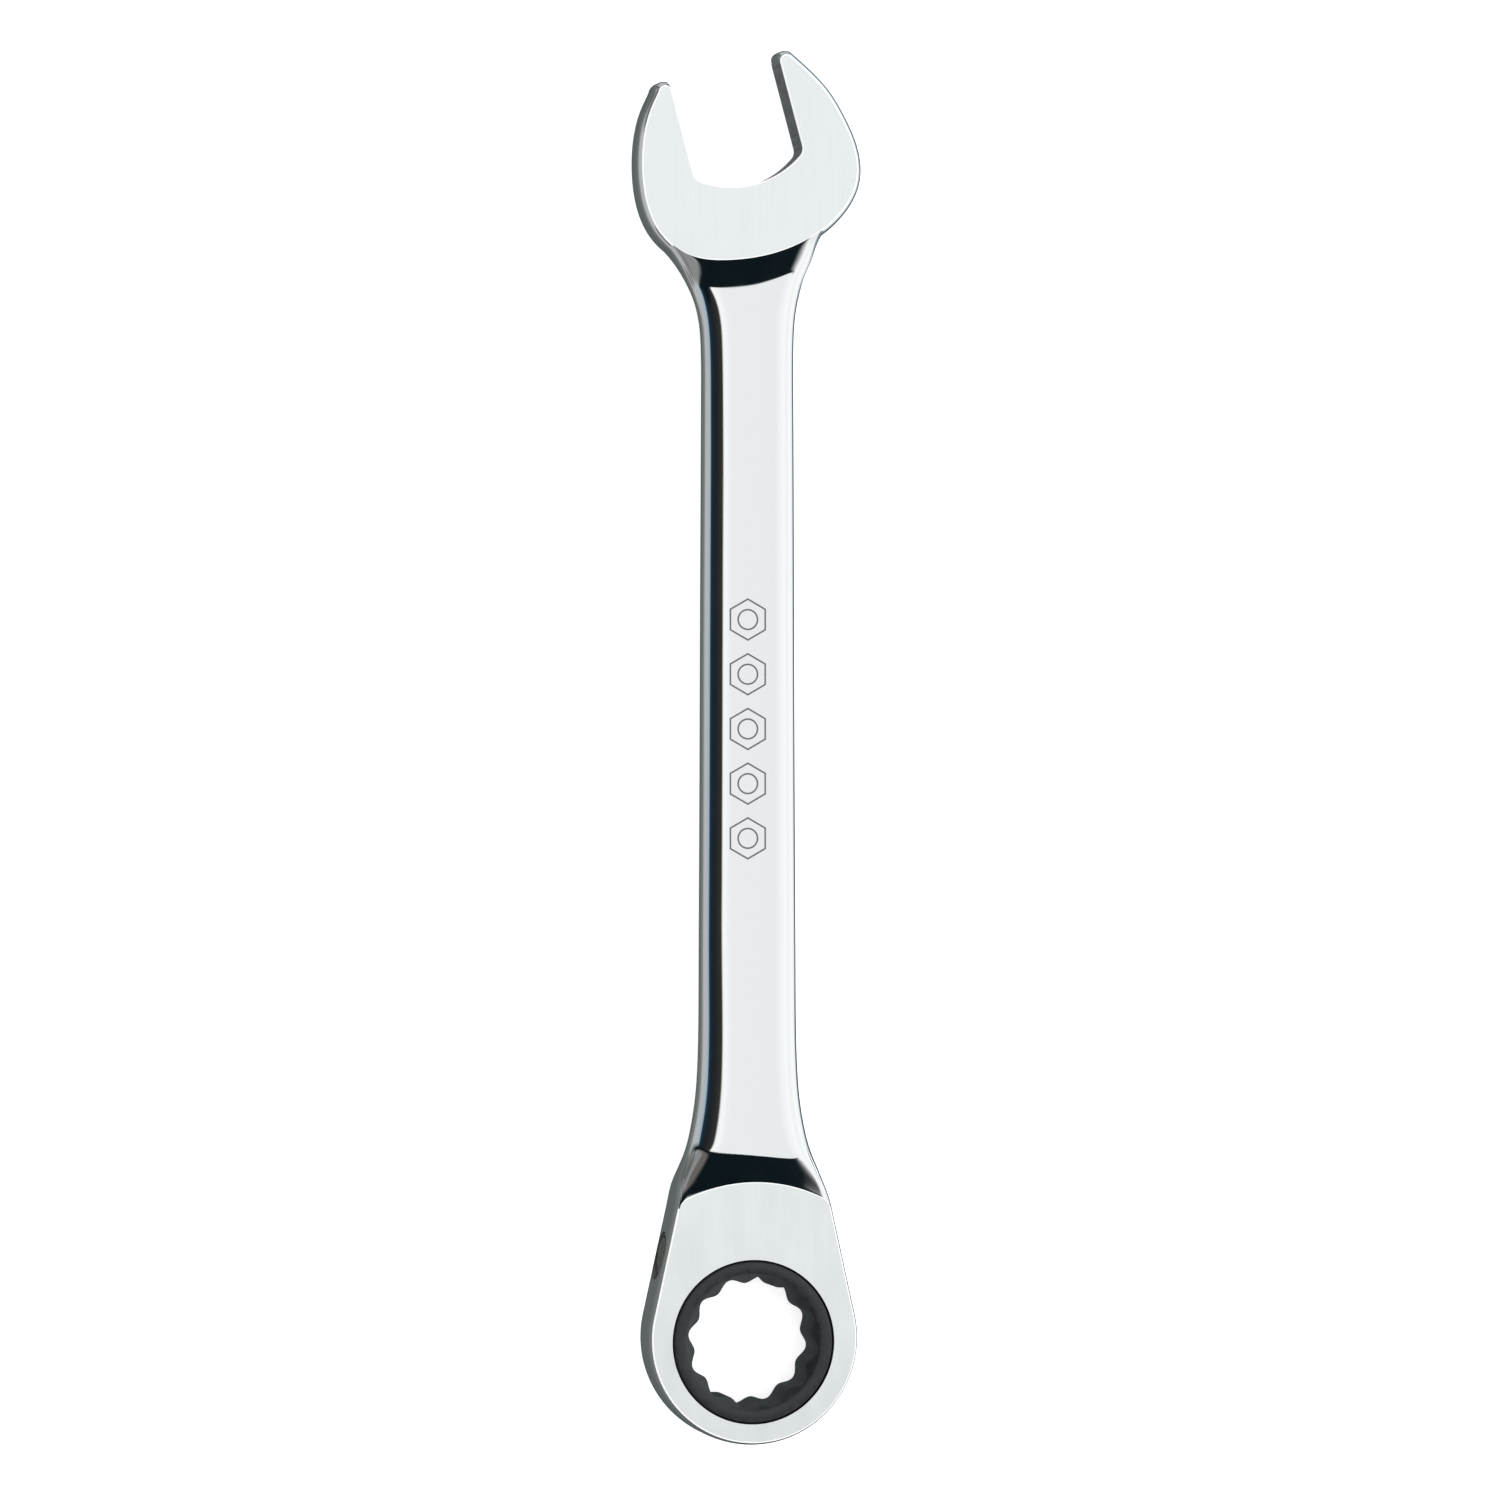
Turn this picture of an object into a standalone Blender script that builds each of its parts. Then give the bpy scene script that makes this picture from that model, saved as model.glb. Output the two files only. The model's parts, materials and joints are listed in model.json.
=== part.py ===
"""Ratcheting combination wrench for 19 mm hexagons, in metres, +Z up.

The wrench lies flat and runs along Y. The open jaw is at +Y and its mouth leans 15 degrees.
The ratcheting ring is at -Y. A one-piece forged body holds a ring gear with a 12-point
socket. A round pawl slides in a bore drilled in from the head's side wall, a coil spring
pushes it into the gear's teeth, and a plug closes the bore. A split retaining ring, half in
the head and half in the gear, keeps the gear from leaving the head.

Every shape is drawn about the ring gear's axis at mid-thickness. An empty at that point
then places the whole wrench with its origin under the middle of its bounding box.
"""

import math

import bmesh
import bpy
from mathutils import Matrix, Vector

MM = 0.001

# Placing: the ring gear's axis in the wrench's own frame.
RING_AXIS_X = 0.36 * MM
RING_AXIS_Y = -99.80 * MM

# Box head, the end that holds the ring gear.
BOX_THICKNESS = 11.0 * MM
BOX_FACE_RADIUS = 17.35 * MM
BOX_FACE_CENTRE_Y = 0.5 * MM
BOX_SIDE_LEAN = math.radians(12.0)
BOX_TOP_RADIUS = 26.7 * MM
BOX_CORNER_RADIUS = 2.2 * MM
BOX_BULGE = 0.9 * MM
RING_BORE_RADIUS = 13.9 * MM

# Open head, with its jaw leaning towards -X.
OPEN_THICKNESS = 8.1 * MM
OPEN_BULGE = 1.0 * MM
JAW_TILT = math.radians(15.0)
JAW_OPENING = 19.2 * MM
JAW_AXIS_OFFSET = 50.8 * MM
JAW_BOTTOM = 187.9 * MM
JAW_BOTTOM_RADIUS = 15.8 * MM
JAW_CORNER_RADIUS = 1.8 * MM
JAW_MOUTH = 212.0 * MM

# Face outline of the open head across and along the jaw, from tip to tip, in millimetres.
OPEN_OUTLINE = (
    (10.4, 207.5), (13.1, 204.3), (15.8, 199.8), (17.5, 194.7), (18.3, 189.2), (17.0, 184.1),
    (12.5, 179.4), (6.4, 176.8), (-0.5, 176.0), (-7.5, 176.8), (-14.2, 179.3), (-17.9, 184.4),
    (-18.75, 189.4), (-18.2, 194.4), (-16.5, 199.8), (-13.5, 205.0), (-10.4, 207.5),
)

# Shank and necks: station along Y, left edge, right edge, half thickness, in millimetres.
SHANK_STATIONS = (
    (19.0, -14.0, 14.0, 5.20), (23.0, -13.2, 13.2, 5.20), (26.6, -12.4, 12.4, 5.10),
    (29.0, -11.6, 11.6, 4.45), (32.3, -10.4, 10.4, 3.80), (35.0, -9.65, 9.65, 3.60),
    (38.5, -9.0, 9.0, 3.50), (44.0, -8.4, 8.4, 3.50), (54.0, -8.2, 8.2, 3.50),
    (108.0, -7.95, 7.95, 3.50), (163.0, -7.75, 7.75, 3.50), (168.6, -7.8, 7.75, 3.50),
    (171.3, -8.1, 7.9, 3.50), (174.0, -8.75, 8.25, 3.52), (176.7, -9.75, 8.85, 3.60),
    (179.4, -11.1, 9.6, 3.75), (182.1, -13.0, 10.7, 3.90), (185.5, -15.6, 12.3, 3.95),
)
SHANK_SECTION_POINTS = 28
SHANK_EDGE_POWER = 5.0

# Ring gear: two plain journals either side of a band of ratchet teeth.
GEAR_HALF_LENGTH = 5.4 * MM
JOURNAL_RADIUS = 13.72 * MM
TOOTH_COUNT = 72
TOOTH_TIP_RADIUS = 13.3 * MM
TOOTH_HEIGHT = 0.45 * MM
TOOTH_LAND = math.radians(0.7)
TOOTH_BAND_HALF = 3.2 * MM
GEAR_EDGE_CHAMFER = 0.25 * MM
SOCKET_ACROSS_FLATS = 19.25 * MM
SOCKET_POINTS = 12
SOCKET_POINT_ANGLE = math.radians(22.0)
SOCKET_MOUTH_RADIUS = 11.44 * MM
SOCKET_MOUTH_DEPTH = 0.9 * MM
SOCKET_STEPS_PER_POINT = 8

# Retaining ring and the two grooves that share it.
RETAINER_Z = -4.5 * MM
RETAINER_WIDTH = 0.7 * MM
RETAINER_INNER = 13.35 * MM
RETAINER_OUTER = 14.25 * MM
RETAINER_SPLIT = 2.0 * MM
GROOVE_WIDTH = 0.9 * MM
GEAR_GROOVE_RADIUS = 13.2 * MM
HEAD_GROOVE_RADIUS = 14.45 * MM

# Pawl bore: its mouth in the left wall and the distance at which it passes the gear's axis.
BORE_MOUTH = Vector((-15.8 * MM, 14.6 * MM))
BORE_PASS_DISTANCE = 12.0 * MM
BORE_RADIUS = 4.0 * MM
BORE_END = -4.7 * MM
BORE_COUNTERSINK = 0.3 * MM
PAWL_RADIUS = 3.9 * MM
PAWL_FRONT = -6.5 * MM
PAWL_BACK = -12.6 * MM
PAWL_POCKET_RADIUS = 2.1 * MM
PAWL_POCKET_DEPTH = 2.4 * MM
PAWL_TOOTH_CLEARANCE = 0.25 * MM
PAWL_JOURNAL_CLEARANCE = 0.25 * MM
PLUG_INNER = -15.2 * MM
PLUG_RECESS = 0.35 * MM
PLUG_RADIUS = 3.9 * MM
PLUG_PEG_RADIUS = 0.9 * MM
PLUG_PEG_LENGTH = 1.6 * MM
SPRING_WIRE_RADIUS = 0.22 * MM
SPRING_COIL_RADIUS = 1.6 * MM
SPRING_TURNS = 5.0
SPRING_GAP = 0.08 * MM
SPRING_POINTS_PER_TURN = 14

ROUND_STEPS = 144
SMALL_ROUND_STEPS = 64
PAST_SURFACE = 2.0 * MM


def bore_geometry():
    """Return the pawl bore's unit direction and its point nearest to the gear's axis."""
    reach = BORE_MOUTH.length
    mouth_angle = math.atan2(BORE_MOUTH.y, -BORE_MOUTH.x)
    heading = math.asin(BORE_PASS_DISTANCE / reach) - mouth_angle
    direction = Vector((math.cos(heading), math.sin(heading)))
    foot = BORE_PASS_DISTANCE * Vector((-math.sin(heading), math.cos(heading)))
    return direction, foot


BORE_DIRECTION, BORE_FOOT = bore_geometry()
BORE_MOUTH_STATION = -math.sqrt(BORE_MOUTH.length**2 - BORE_PASS_DISTANCE**2)


def clear_scene():
    """Remove every object that the open file holds."""
    for existing in list(bpy.data.objects):
        bpy.data.objects.remove(existing, do_unlink=True)


def new_collection(name):
    """Return a new collection linked to the scene."""
    collection = bpy.data.collections.new(name)
    bpy.context.scene.collection.children.link(collection)
    return collection


def new_material(name, colour, roughness, metallic=1.0):
    """Return a Principled material."""
    material = bpy.data.materials.new(name)
    material.use_nodes = True
    shader = material.node_tree.nodes["Principled BSDF"]
    shader.inputs["Base Color"].default_value = (*colour, 1.0)
    shader.inputs["Roughness"].default_value = roughness
    shader.inputs["Metallic"].default_value = metallic
    return material


clear_scene()
PARTS = new_collection("ratcheting_combination_wrench")
CUTTERS = new_collection("wrench_cutters")
FRAME = bpy.data.objects.new("wrench_frame", None)
FRAME.location = (RING_AXIS_X, RING_AXIS_Y, BOX_THICKNESS / 2)
PARTS.objects.link(FRAME)


def add_object(name, mesh, collection):
    """Link a mesh to a collection, under the wrench's frame empty."""
    created = bpy.data.objects.new(name, mesh)
    collection.objects.link(created)
    created.parent = FRAME
    if collection is CUTTERS:
        created.hide_render = True
        created.display_type = "WIRE"
    return created


def finish_part(part, material):
    """Give a part its material and shade its round surfaces smooth."""
    part.data.materials.clear()
    part.data.materials.append(material)
    part.data.shade_smooth()
    part.data.set_sharp_from_angle(angle=math.radians(30.0))


def add_boolean(target, tool, operation="DIFFERENCE"):
    """Add an exact Boolean modifier."""
    modifier = target.modifiers.new(tool.name, "BOOLEAN")
    modifier.operation = operation
    modifier.solver = "EXACT"
    modifier.object = tool


def curve_to_mesh(curve, name, collection):
    """Turn a curve with caps into a welded mesh object and remove the curve."""
    holder = bpy.data.objects.new(name + "_curve", curve)
    bpy.context.scene.collection.objects.link(holder)
    evaluated = holder.evaluated_get(bpy.context.evaluated_depsgraph_get())
    mesh = bpy.data.meshes.new_from_object(evaluated)
    bpy.data.objects.remove(holder, do_unlink=True)
    shape = bmesh.new()
    shape.from_mesh(mesh)
    bmesh.ops.remove_doubles(shape, verts=shape.verts, dist=0.001 * MM)
    bmesh.ops.recalc_face_normals(shape, faces=shape.faces)
    shape.to_mesh(mesh)
    shape.free()
    mesh.name = name
    return add_object(name, mesh, collection)


def plate(name, outline, half_thickness, collection, bulge=0.0, hole=None):
    """Extrude a closed outline, whose side walls can bulge past its flat faces."""
    curve = bpy.data.curves.new(name, "CURVE")
    curve.dimensions = "2D"
    curve.fill_mode = "BOTH"
    curve.extrude = half_thickness - bulge
    curve.bevel_depth = bulge
    curve.bevel_resolution = 2
    for loop in [outline] if hole is None else [outline, hole]:
        spline = curve.splines.new("POLY")
        spline.points.add(len(loop) - 1)
        for point, (x, y) in zip(spline.points, loop):
            point.co = (x, y, 0.0, 1.0)
        spline.use_cyclic_u = True
    return curve_to_mesh(curve, name, collection)


def turned(name, profile, collection, steps=ROUND_STEPS):
    """Turn a closed (radius, z) profile about Z with a Screw modifier."""
    shape = bmesh.new()
    corners = [shape.verts.new((radius, 0.0, z)) for radius, z in profile]
    for corner, following in zip(corners, corners[1:] + corners[:1]):
        shape.edges.new((corner, following))
    mesh = bpy.data.meshes.new(name)
    shape.to_mesh(mesh)
    shape.free()
    created = add_object(name, mesh, collection)
    screw = created.modifiers.new("turn", "SCREW")
    screw.steps = steps
    screw.render_steps = steps
    screw.use_merge_vertices = True
    screw.merge_threshold = 0.001 * MM
    return created


def rod(name, radius, start, end, collection, end_radius=None, steps=SMALL_ROUND_STEPS):
    """Make a rod or cone on the pawl bore's line between two stations along it."""
    shape = bmesh.new()
    bmesh.ops.create_cone(
        shape, cap_ends=True, segments=steps, depth=end - start,
        radius1=radius, radius2=radius if end_radius is None else end_radius,
    )
    mesh = bpy.data.meshes.new(name)
    shape.to_mesh(mesh)
    shape.free()
    created = add_object(name, mesh, collection)
    along = Vector((BORE_DIRECTION.x, BORE_DIRECTION.y, 0.0))
    middle = BORE_FOOT + BORE_DIRECTION * (start + end) / 2
    turn = along.to_track_quat("Z", "Y").to_matrix().to_4x4()
    created.matrix_local = Matrix.Translation((middle.x, middle.y, 0.0)) @ turn
    return created


def arc(centre, radius, start, end, segments):
    """Return points along an arc, both ends included."""
    points = []
    for step in range(segments + 1):
        angle = start + (end - start) * step / segments
        points.append((centre[0] + radius * math.cos(angle), centre[1] + radius * math.sin(angle)))
    return points


def box_head_outline():
    """Face outline of the box head: a round end, two leaning sides and an arc at the neck."""
    lean = BOX_SIDE_LEAN
    side = BOX_FACE_RADIUS - BOX_CORNER_RADIUS + BOX_FACE_CENTRE_Y * math.sin(lean)
    climb = math.sqrt((BOX_TOP_RADIUS - BOX_CORNER_RADIUS) ** 2 - side**2)
    corner_x = side * math.cos(lean) - climb * math.sin(lean)
    corner_y = side * math.sin(lean) + climb * math.cos(lean)
    turn = math.atan2(corner_y, corner_x)
    outline = arc((0, BOX_FACE_CENTRE_Y), BOX_FACE_RADIUS, -math.pi - lean, lean, 56)
    outline += arc((corner_x, corner_y), BOX_CORNER_RADIUS, lean, turn, 5)
    outline += arc((0, 0), BOX_TOP_RADIUS, turn, math.pi - turn, 16)[1:-1]
    outline += arc((-corner_x, corner_y), BOX_CORNER_RADIUS, math.pi - turn, math.pi - lean, 5)
    return outline


def smooth_through(points, steps):
    """Return a Catmull-Rom curve through points, both ends included."""
    ends = [points[0]] + list(points) + [points[-1]]
    curve = []
    for before, first, last, after in zip(ends, ends[1:], ends[2:], ends[3:]):
        for step in range(steps):
            t = step / steps
            blend = (
                (2 * t * t - t**3 - t) / 2, (2 - 5 * t * t + 3 * t**3) / 2,
                (t + 4 * t * t - 3 * t**3) / 2, (t**3 - t * t) / 2,
            )
            knots = (before, first, last, after)
            curve.append(tuple(sum(b * k[axis] for b, k in zip(blend, knots)) for axis in (0, 1)))
    return curve + [tuple(points[-1])]


def jaw_to_wrench(across, along):
    """Turn a point given across and along the jaw into the wrench's X and Y."""
    across += JAW_AXIS_OFFSET
    x = across * math.cos(JAW_TILT) - along * math.sin(JAW_TILT)
    y = across * math.sin(JAW_TILT) + along * math.cos(JAW_TILT)
    return x, y


def jaw_slot_outline():
    """Outline of the jaw's opening: parallel sides and a round bottom with small corners."""
    half = JAW_OPENING / 2
    inner = JAW_BOTTOM_RADIUS - JAW_CORNER_RADIUS
    corner_across = half - JAW_CORNER_RADIUS
    centre_along = JAW_BOTTOM + JAW_BOTTOM_RADIUS
    corner_along = centre_along - math.sqrt(inner**2 - corner_across**2)
    turn = math.atan2(corner_along - centre_along, corner_across)
    outline = [(half, JAW_MOUTH), (-half, JAW_MOUTH)]
    outline += arc((-corner_across, corner_along), JAW_CORNER_RADIUS, -math.pi, -math.pi - turn, 5)
    outline += arc((0, centre_along), JAW_BOTTOM_RADIUS, -math.pi - turn, turn, 12)[1:-1]
    outline += arc((corner_across, corner_along), JAW_CORNER_RADIUS, turn, 0.0, 5)
    return [jaw_to_wrench(across, along) for across, along in outline]


def shank_blank(name):
    """Loft the shank and both necks through their rounded-rectangle sections."""
    shape = bmesh.new()
    rings = []
    for y, left, right, half in SHANK_STATIONS:
        ring = []
        for step in range(SHANK_SECTION_POINTS):
            angle = 2 * math.pi * (step + 0.5) / SHANK_SECTION_POINTS
            flat_x = abs(math.cos(angle)) ** (2 / SHANK_EDGE_POWER)
            flat_z = abs(math.sin(angle)) ** (2 / SHANK_EDGE_POWER)
            x = (left + right) / 2 + math.copysign(flat_x, math.cos(angle)) * (right - left) / 2
            z = math.copysign(flat_z, math.sin(angle)) * half
            ring.append(shape.verts.new((x * MM, y * MM, z * MM)))
        rings.append(ring)
    for ring, following in zip(rings, rings[1:]):
        for step in range(SHANK_SECTION_POINTS):
            after = (step + 1) % SHANK_SECTION_POINTS
            shape.faces.new((ring[step], ring[after], following[after], following[step]))
    shape.faces.new(rings[0][::-1])
    shape.faces.new(rings[-1])
    bmesh.ops.recalc_face_normals(shape, faces=shape.faces)
    mesh = bpy.data.meshes.new(name)
    shape.to_mesh(mesh)
    shape.free()
    return add_object(name, mesh, PARTS)


def make_wrench_body():
    """Join both heads to the shank, then cut the jaw, the gear's bore and the pawl's bore."""
    body = shank_blank("wrench_body")
    box_head = plate("box_head", box_head_outline(), BOX_THICKNESS / 2, CUTTERS, BOX_BULGE)
    tips = [(across * MM, along * MM) for across, along in OPEN_OUTLINE]
    outline = [jaw_to_wrench(across, along) for across, along in smooth_through(tips, 5)]
    open_head = plate("open_head", outline, OPEN_THICKNESS / 2, CUTTERS, OPEN_BULGE)
    add_boolean(body, box_head, "UNION")
    add_boolean(body, open_head, "UNION")
    add_boolean(body, plate("jaw_slot", jaw_slot_outline(), OPEN_THICKNESS, CUTTERS))
    half = BOX_THICKNESS / 2 + PAST_SURFACE
    groove_top = RETAINER_Z + GROOVE_WIDTH / 2
    groove_bottom = RETAINER_Z - GROOVE_WIDTH / 2
    bore_profile = [
        (0, half), (RING_BORE_RADIUS, half), (RING_BORE_RADIUS, groove_top),
        (HEAD_GROOVE_RADIUS, groove_top), (HEAD_GROOVE_RADIUS, groove_bottom),
        (RING_BORE_RADIUS, groove_bottom), (RING_BORE_RADIUS, -half), (0, -half),
    ]
    add_boolean(body, turned("gear_bore", bore_profile, CUTTERS))
    mouth = BORE_MOUTH_STATION - PAST_SURFACE
    add_boolean(body, rod("pawl_bore", BORE_RADIUS, mouth, BORE_END, CUTTERS))
    flare = BORE_RADIUS + PAST_SURFACE
    countersink = rod(
        "bore_countersink", flare, mouth, BORE_MOUTH_STATION + BORE_COUNTERSINK, CUTTERS,
        BORE_RADIUS - BORE_COUNTERSINK,
    )
    add_boolean(body, countersink)
    return body


def tooth_outline(clearance):
    """Outline of the gear's saw teeth: steep on the clockwise side, shallow on the other."""
    pitch = 2 * math.pi / TOOTH_COUNT
    root = TOOTH_TIP_RADIUS - TOOTH_HEIGHT + clearance
    tip = TOOTH_TIP_RADIUS + clearance
    play = clearance / TOOTH_TIP_RADIUS
    steep = math.radians(0.25)
    points = []
    for tooth in range(TOOTH_COUNT):
        start = tooth * pitch
        corners = ((root, -play), (tip, steep - play), (tip, steep + TOOTH_LAND + play))
        points += [(r * math.cos(start + a), r * math.sin(start + a)) for r, a in corners]
    return points


def socket_outline():
    """Outline of the 12-point socket: two hexagons, with eased lobes and points."""
    flat = SOCKET_ACROSS_FLATS / 2
    pitch = 2 * math.pi / SOCKET_POINTS
    points = []
    for step in range(SOCKET_POINTS * SOCKET_STEPS_PER_POINT):
        turn = pitch * step / SOCKET_STEPS_PER_POINT
        from_point = abs((turn + pitch / 2) % pitch - pitch / 2)
        eased = math.sqrt(from_point**2 + math.radians(1.2) ** 2)
        radius = flat / math.cos(pitch - min(eased, pitch / 2))
        angle = SOCKET_POINT_ANGLE + turn
        points.append((radius * math.cos(angle), radius * math.sin(angle)))
    return points


def make_ring_gear():
    """Turn the gear's blank, then cut its socket, the socket's mouths and the teeth."""
    top = GEAR_HALF_LENGTH
    band = TOOTH_BAND_HALF
    easy = JOURNAL_RADIUS - GEAR_EDGE_CHAMFER
    core = SOCKET_ACROSS_FLATS / 2 - 1.0 * MM
    groove_top = RETAINER_Z + GROOVE_WIDTH / 2
    groove_bottom = RETAINER_Z - GROOVE_WIDTH / 2
    root = TOOTH_TIP_RADIUS - TOOTH_HEIGHT - 0.05 * MM
    profile = [
        (core, top), (easy, top), (JOURNAL_RADIUS, top - GEAR_EDGE_CHAMFER),
        (JOURNAL_RADIUS, band), (root, band), (root, -band), (JOURNAL_RADIUS, -band),
        (JOURNAL_RADIUS, groove_top), (GEAR_GROOVE_RADIUS, groove_top),
        (GEAR_GROOVE_RADIUS, groove_bottom), (JOURNAL_RADIUS, groove_bottom),
        (JOURNAL_RADIUS, GEAR_EDGE_CHAMFER - top), (easy, -top), (core, -top),
    ]
    gear = turned("ring_gear", profile, PARTS)
    add_boolean(gear, plate("socket", socket_outline(), top + PAST_SURFACE, CUTTERS))
    slope = (SOCKET_MOUTH_RADIUS - core) / (SOCKET_MOUTH_DEPTH * 2)
    wide = SOCKET_MOUTH_RADIUS + PAST_SURFACE * slope
    for name, side in (("socket_mouth_top", 1), ("socket_mouth_back", -1)):
        outer = (wide, side * (top + PAST_SURFACE))
        inner = (core, side * (top - SOCKET_MOUTH_DEPTH * 2))
        axis = [(0, inner[1]), (0, outer[1])]
        cone = [outer, inner] + axis if side > 0 else [inner, outer] + axis[::-1]
        add_boolean(gear, turned(name, cone, CUTTERS))
    hole = arc((0, 0), root - 0.5 * MM, 0.0, 2 * math.pi, ROUND_STEPS)[:-1]
    teeth = plate("gear_teeth", tooth_outline(0.0), band + 0.05 * MM, CUTTERS, hole=hole)
    add_boolean(gear, teeth, "UNION")
    return gear


def make_pawl():
    """Cut a round pawl to the gear's teeth and journals, and bore its spring pocket."""
    pawl = rod("pawl", PAWL_RADIUS, PAWL_BACK, PAWL_FRONT, PARTS)
    reach = BOX_THICKNESS / 2
    toothed = plate("pawl_tooth_form", tooth_outline(PAWL_TOOTH_CLEARANCE), reach, CUTTERS)
    add_boolean(pawl, toothed)
    relief = JOURNAL_RADIUS + PAWL_JOURNAL_CLEARANCE
    inner = TOOTH_BAND_HALF - PAWL_JOURNAL_CLEARANCE
    for name, low, high in (("relief_top", inner, reach), ("relief_back", -reach, -inner)):
        profile = [(0, high), (relief, high), (relief, low), (0, low)]
        add_boolean(pawl, turned("pawl_" + name, profile, CUTTERS))
    pocket_end = PAWL_BACK + PAWL_POCKET_DEPTH
    pocket = rod(
        "pawl_pocket", PAWL_POCKET_RADIUS, PAWL_BACK - PAST_SURFACE, pocket_end, CUTTERS,
        steps=32,
    )
    add_boolean(pawl, pocket)
    return pawl


def make_plug():
    """Make the plug that closes the pawl bore, with a peg that centres the spring."""
    outer = BORE_MOUTH_STATION + PLUG_RECESS
    plug = rod("pawl_bore_plug", PLUG_RADIUS, outer, PLUG_INNER, PARTS)
    peg_end = PLUG_INNER + PLUG_PEG_LENGTH
    peg = rod("plug_peg", PLUG_PEG_RADIUS, outer + 0.5 * MM, peg_end, CUTTERS, steps=24)
    add_boolean(plug, peg, "UNION")
    return plug


def make_spring():
    """Wind the pawl's coil spring between the plug and the pawl's pocket."""
    start = PLUG_INNER + SPRING_WIRE_RADIUS + SPRING_GAP
    end = PAWL_BACK + PAWL_POCKET_DEPTH - SPRING_WIRE_RADIUS - SPRING_GAP
    curve = bpy.data.curves.new("pawl_spring", "CURVE")
    curve.dimensions = "3D"
    curve.bevel_depth = SPRING_WIRE_RADIUS
    curve.bevel_resolution = 2
    curve.use_fill_caps = True
    spline = curve.splines.new("POLY")
    count = int(SPRING_TURNS * SPRING_POINTS_PER_TURN) + 1
    spline.points.add(count - 1)
    side = Vector((-BORE_DIRECTION.y, BORE_DIRECTION.x))
    for index, point in enumerate(spline.points):
        share = index / (count - 1)
        angle = 2 * math.pi * SPRING_TURNS * share
        centre = BORE_FOOT + BORE_DIRECTION * (start + (end - start) * share)
        place = centre + side * SPRING_COIL_RADIUS * math.cos(angle)
        point.co = (place.x, place.y, SPRING_COIL_RADIUS * math.sin(angle), 1.0)
    return curve_to_mesh(curve, "pawl_spring", PARTS)


def make_retaining_ring():
    """Turn the flat retaining ring and open its split on the far side from the neck."""
    top = RETAINER_Z + RETAINER_WIDTH / 2
    bottom = RETAINER_Z - RETAINER_WIDTH / 2
    profile = [
        (RETAINER_INNER, top), (RETAINER_OUTER, top),
        (RETAINER_OUTER, bottom), (RETAINER_INNER, bottom),
    ]
    ring = turned("retaining_ring", profile, PARTS, 96)
    shape = bmesh.new()
    bmesh.ops.create_cube(shape, size=1.0)
    split_length = RETAINER_OUTER - RETAINER_INNER + PAST_SURFACE
    size = (RETAINER_SPLIT, split_length, RETAINER_WIDTH + PAST_SURFACE)
    bmesh.ops.scale(shape, vec=size, verts=shape.verts)
    mesh = bpy.data.meshes.new("ring_split")
    shape.to_mesh(mesh)
    shape.free()
    split = add_object("ring_split", mesh, CUTTERS)
    split.location = (0.0, -(RETAINER_OUTER + RETAINER_INNER) / 2, RETAINER_Z)
    add_boolean(ring, split)
    return ring


finish_part(make_wrench_body(), new_material("bright_chrome", (0.80, 0.82, 0.83), 0.08))
finish_part(make_ring_gear(), new_material("black_oxide_steel", (0.045, 0.052, 0.056), 0.35))
finish_part(make_pawl(), new_material("hardened_steel", (0.42, 0.42, 0.43), 0.35))
finish_part(make_plug(), new_material("plug_steel", (0.30, 0.31, 0.31), 0.30))
finish_part(make_spring(), new_material("spring_steel", (0.50, 0.50, 0.52), 0.25))
finish_part(make_retaining_ring(), new_material("retainer_steel", (0.20, 0.20, 0.21), 0.35))
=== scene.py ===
"""Looks of the ratcheting combination wrench.

The forged body, the ring gear, the bore plug and the pawl's spring are rebuilt here as fine
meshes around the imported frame. Their shapes are drawn in millimetres about the ring gear's axis
at mid-thickness, with Y along the wrench, and are then placed on the frame's own axis.
"""

import json
import math

import bmesh
import bpy
import numpy as np
from mathutils import Matrix, Vector
from mathutils.geometry import delaunay_2d_cdt


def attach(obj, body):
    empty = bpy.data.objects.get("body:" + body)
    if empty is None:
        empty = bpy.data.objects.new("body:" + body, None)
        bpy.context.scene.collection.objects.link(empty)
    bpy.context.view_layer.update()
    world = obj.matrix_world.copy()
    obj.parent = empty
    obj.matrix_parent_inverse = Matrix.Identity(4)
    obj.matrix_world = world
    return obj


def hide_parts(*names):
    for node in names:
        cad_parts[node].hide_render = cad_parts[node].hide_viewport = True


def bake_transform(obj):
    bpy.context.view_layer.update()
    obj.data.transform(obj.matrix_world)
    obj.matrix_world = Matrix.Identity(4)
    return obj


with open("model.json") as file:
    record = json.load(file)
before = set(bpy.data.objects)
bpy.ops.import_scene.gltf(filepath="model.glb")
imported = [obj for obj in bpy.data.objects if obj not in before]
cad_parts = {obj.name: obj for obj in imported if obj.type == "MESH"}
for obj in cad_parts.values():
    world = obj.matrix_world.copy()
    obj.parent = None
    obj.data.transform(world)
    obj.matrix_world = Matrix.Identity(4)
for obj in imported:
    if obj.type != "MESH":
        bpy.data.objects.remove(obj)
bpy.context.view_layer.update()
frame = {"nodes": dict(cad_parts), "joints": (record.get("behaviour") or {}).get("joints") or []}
JOINTS = {joint["name"]: joint for joint in frame["joints"]}
RING_AXIS = np.array(JOINTS["ring_spin"]["pos_m"])
PAWL_AXIS = Vector(JOINTS["pawl_slide"]["axis"]).normalized()
MM = 0.001

# Box head, in millimetres.
BOX_HALF = 5.5
BOX_RADIUS = 17.24
BOX_CENTRE_X = 0.2
BOX_CENTRE_Y = 0.5
BOX_LEAN = math.radians(12.4)
BOX_TOP_RADIUS = 26.7
BOX_CORNER = 2.2
BOX_BULGE = 0.7
BORE_RADIUS = 13.73
BORE_EDGE = 13.82
BORE_EDGE_DEPTH = 0.2
BORE_BAND = 2.6
BORE_STEPS = 216

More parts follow.
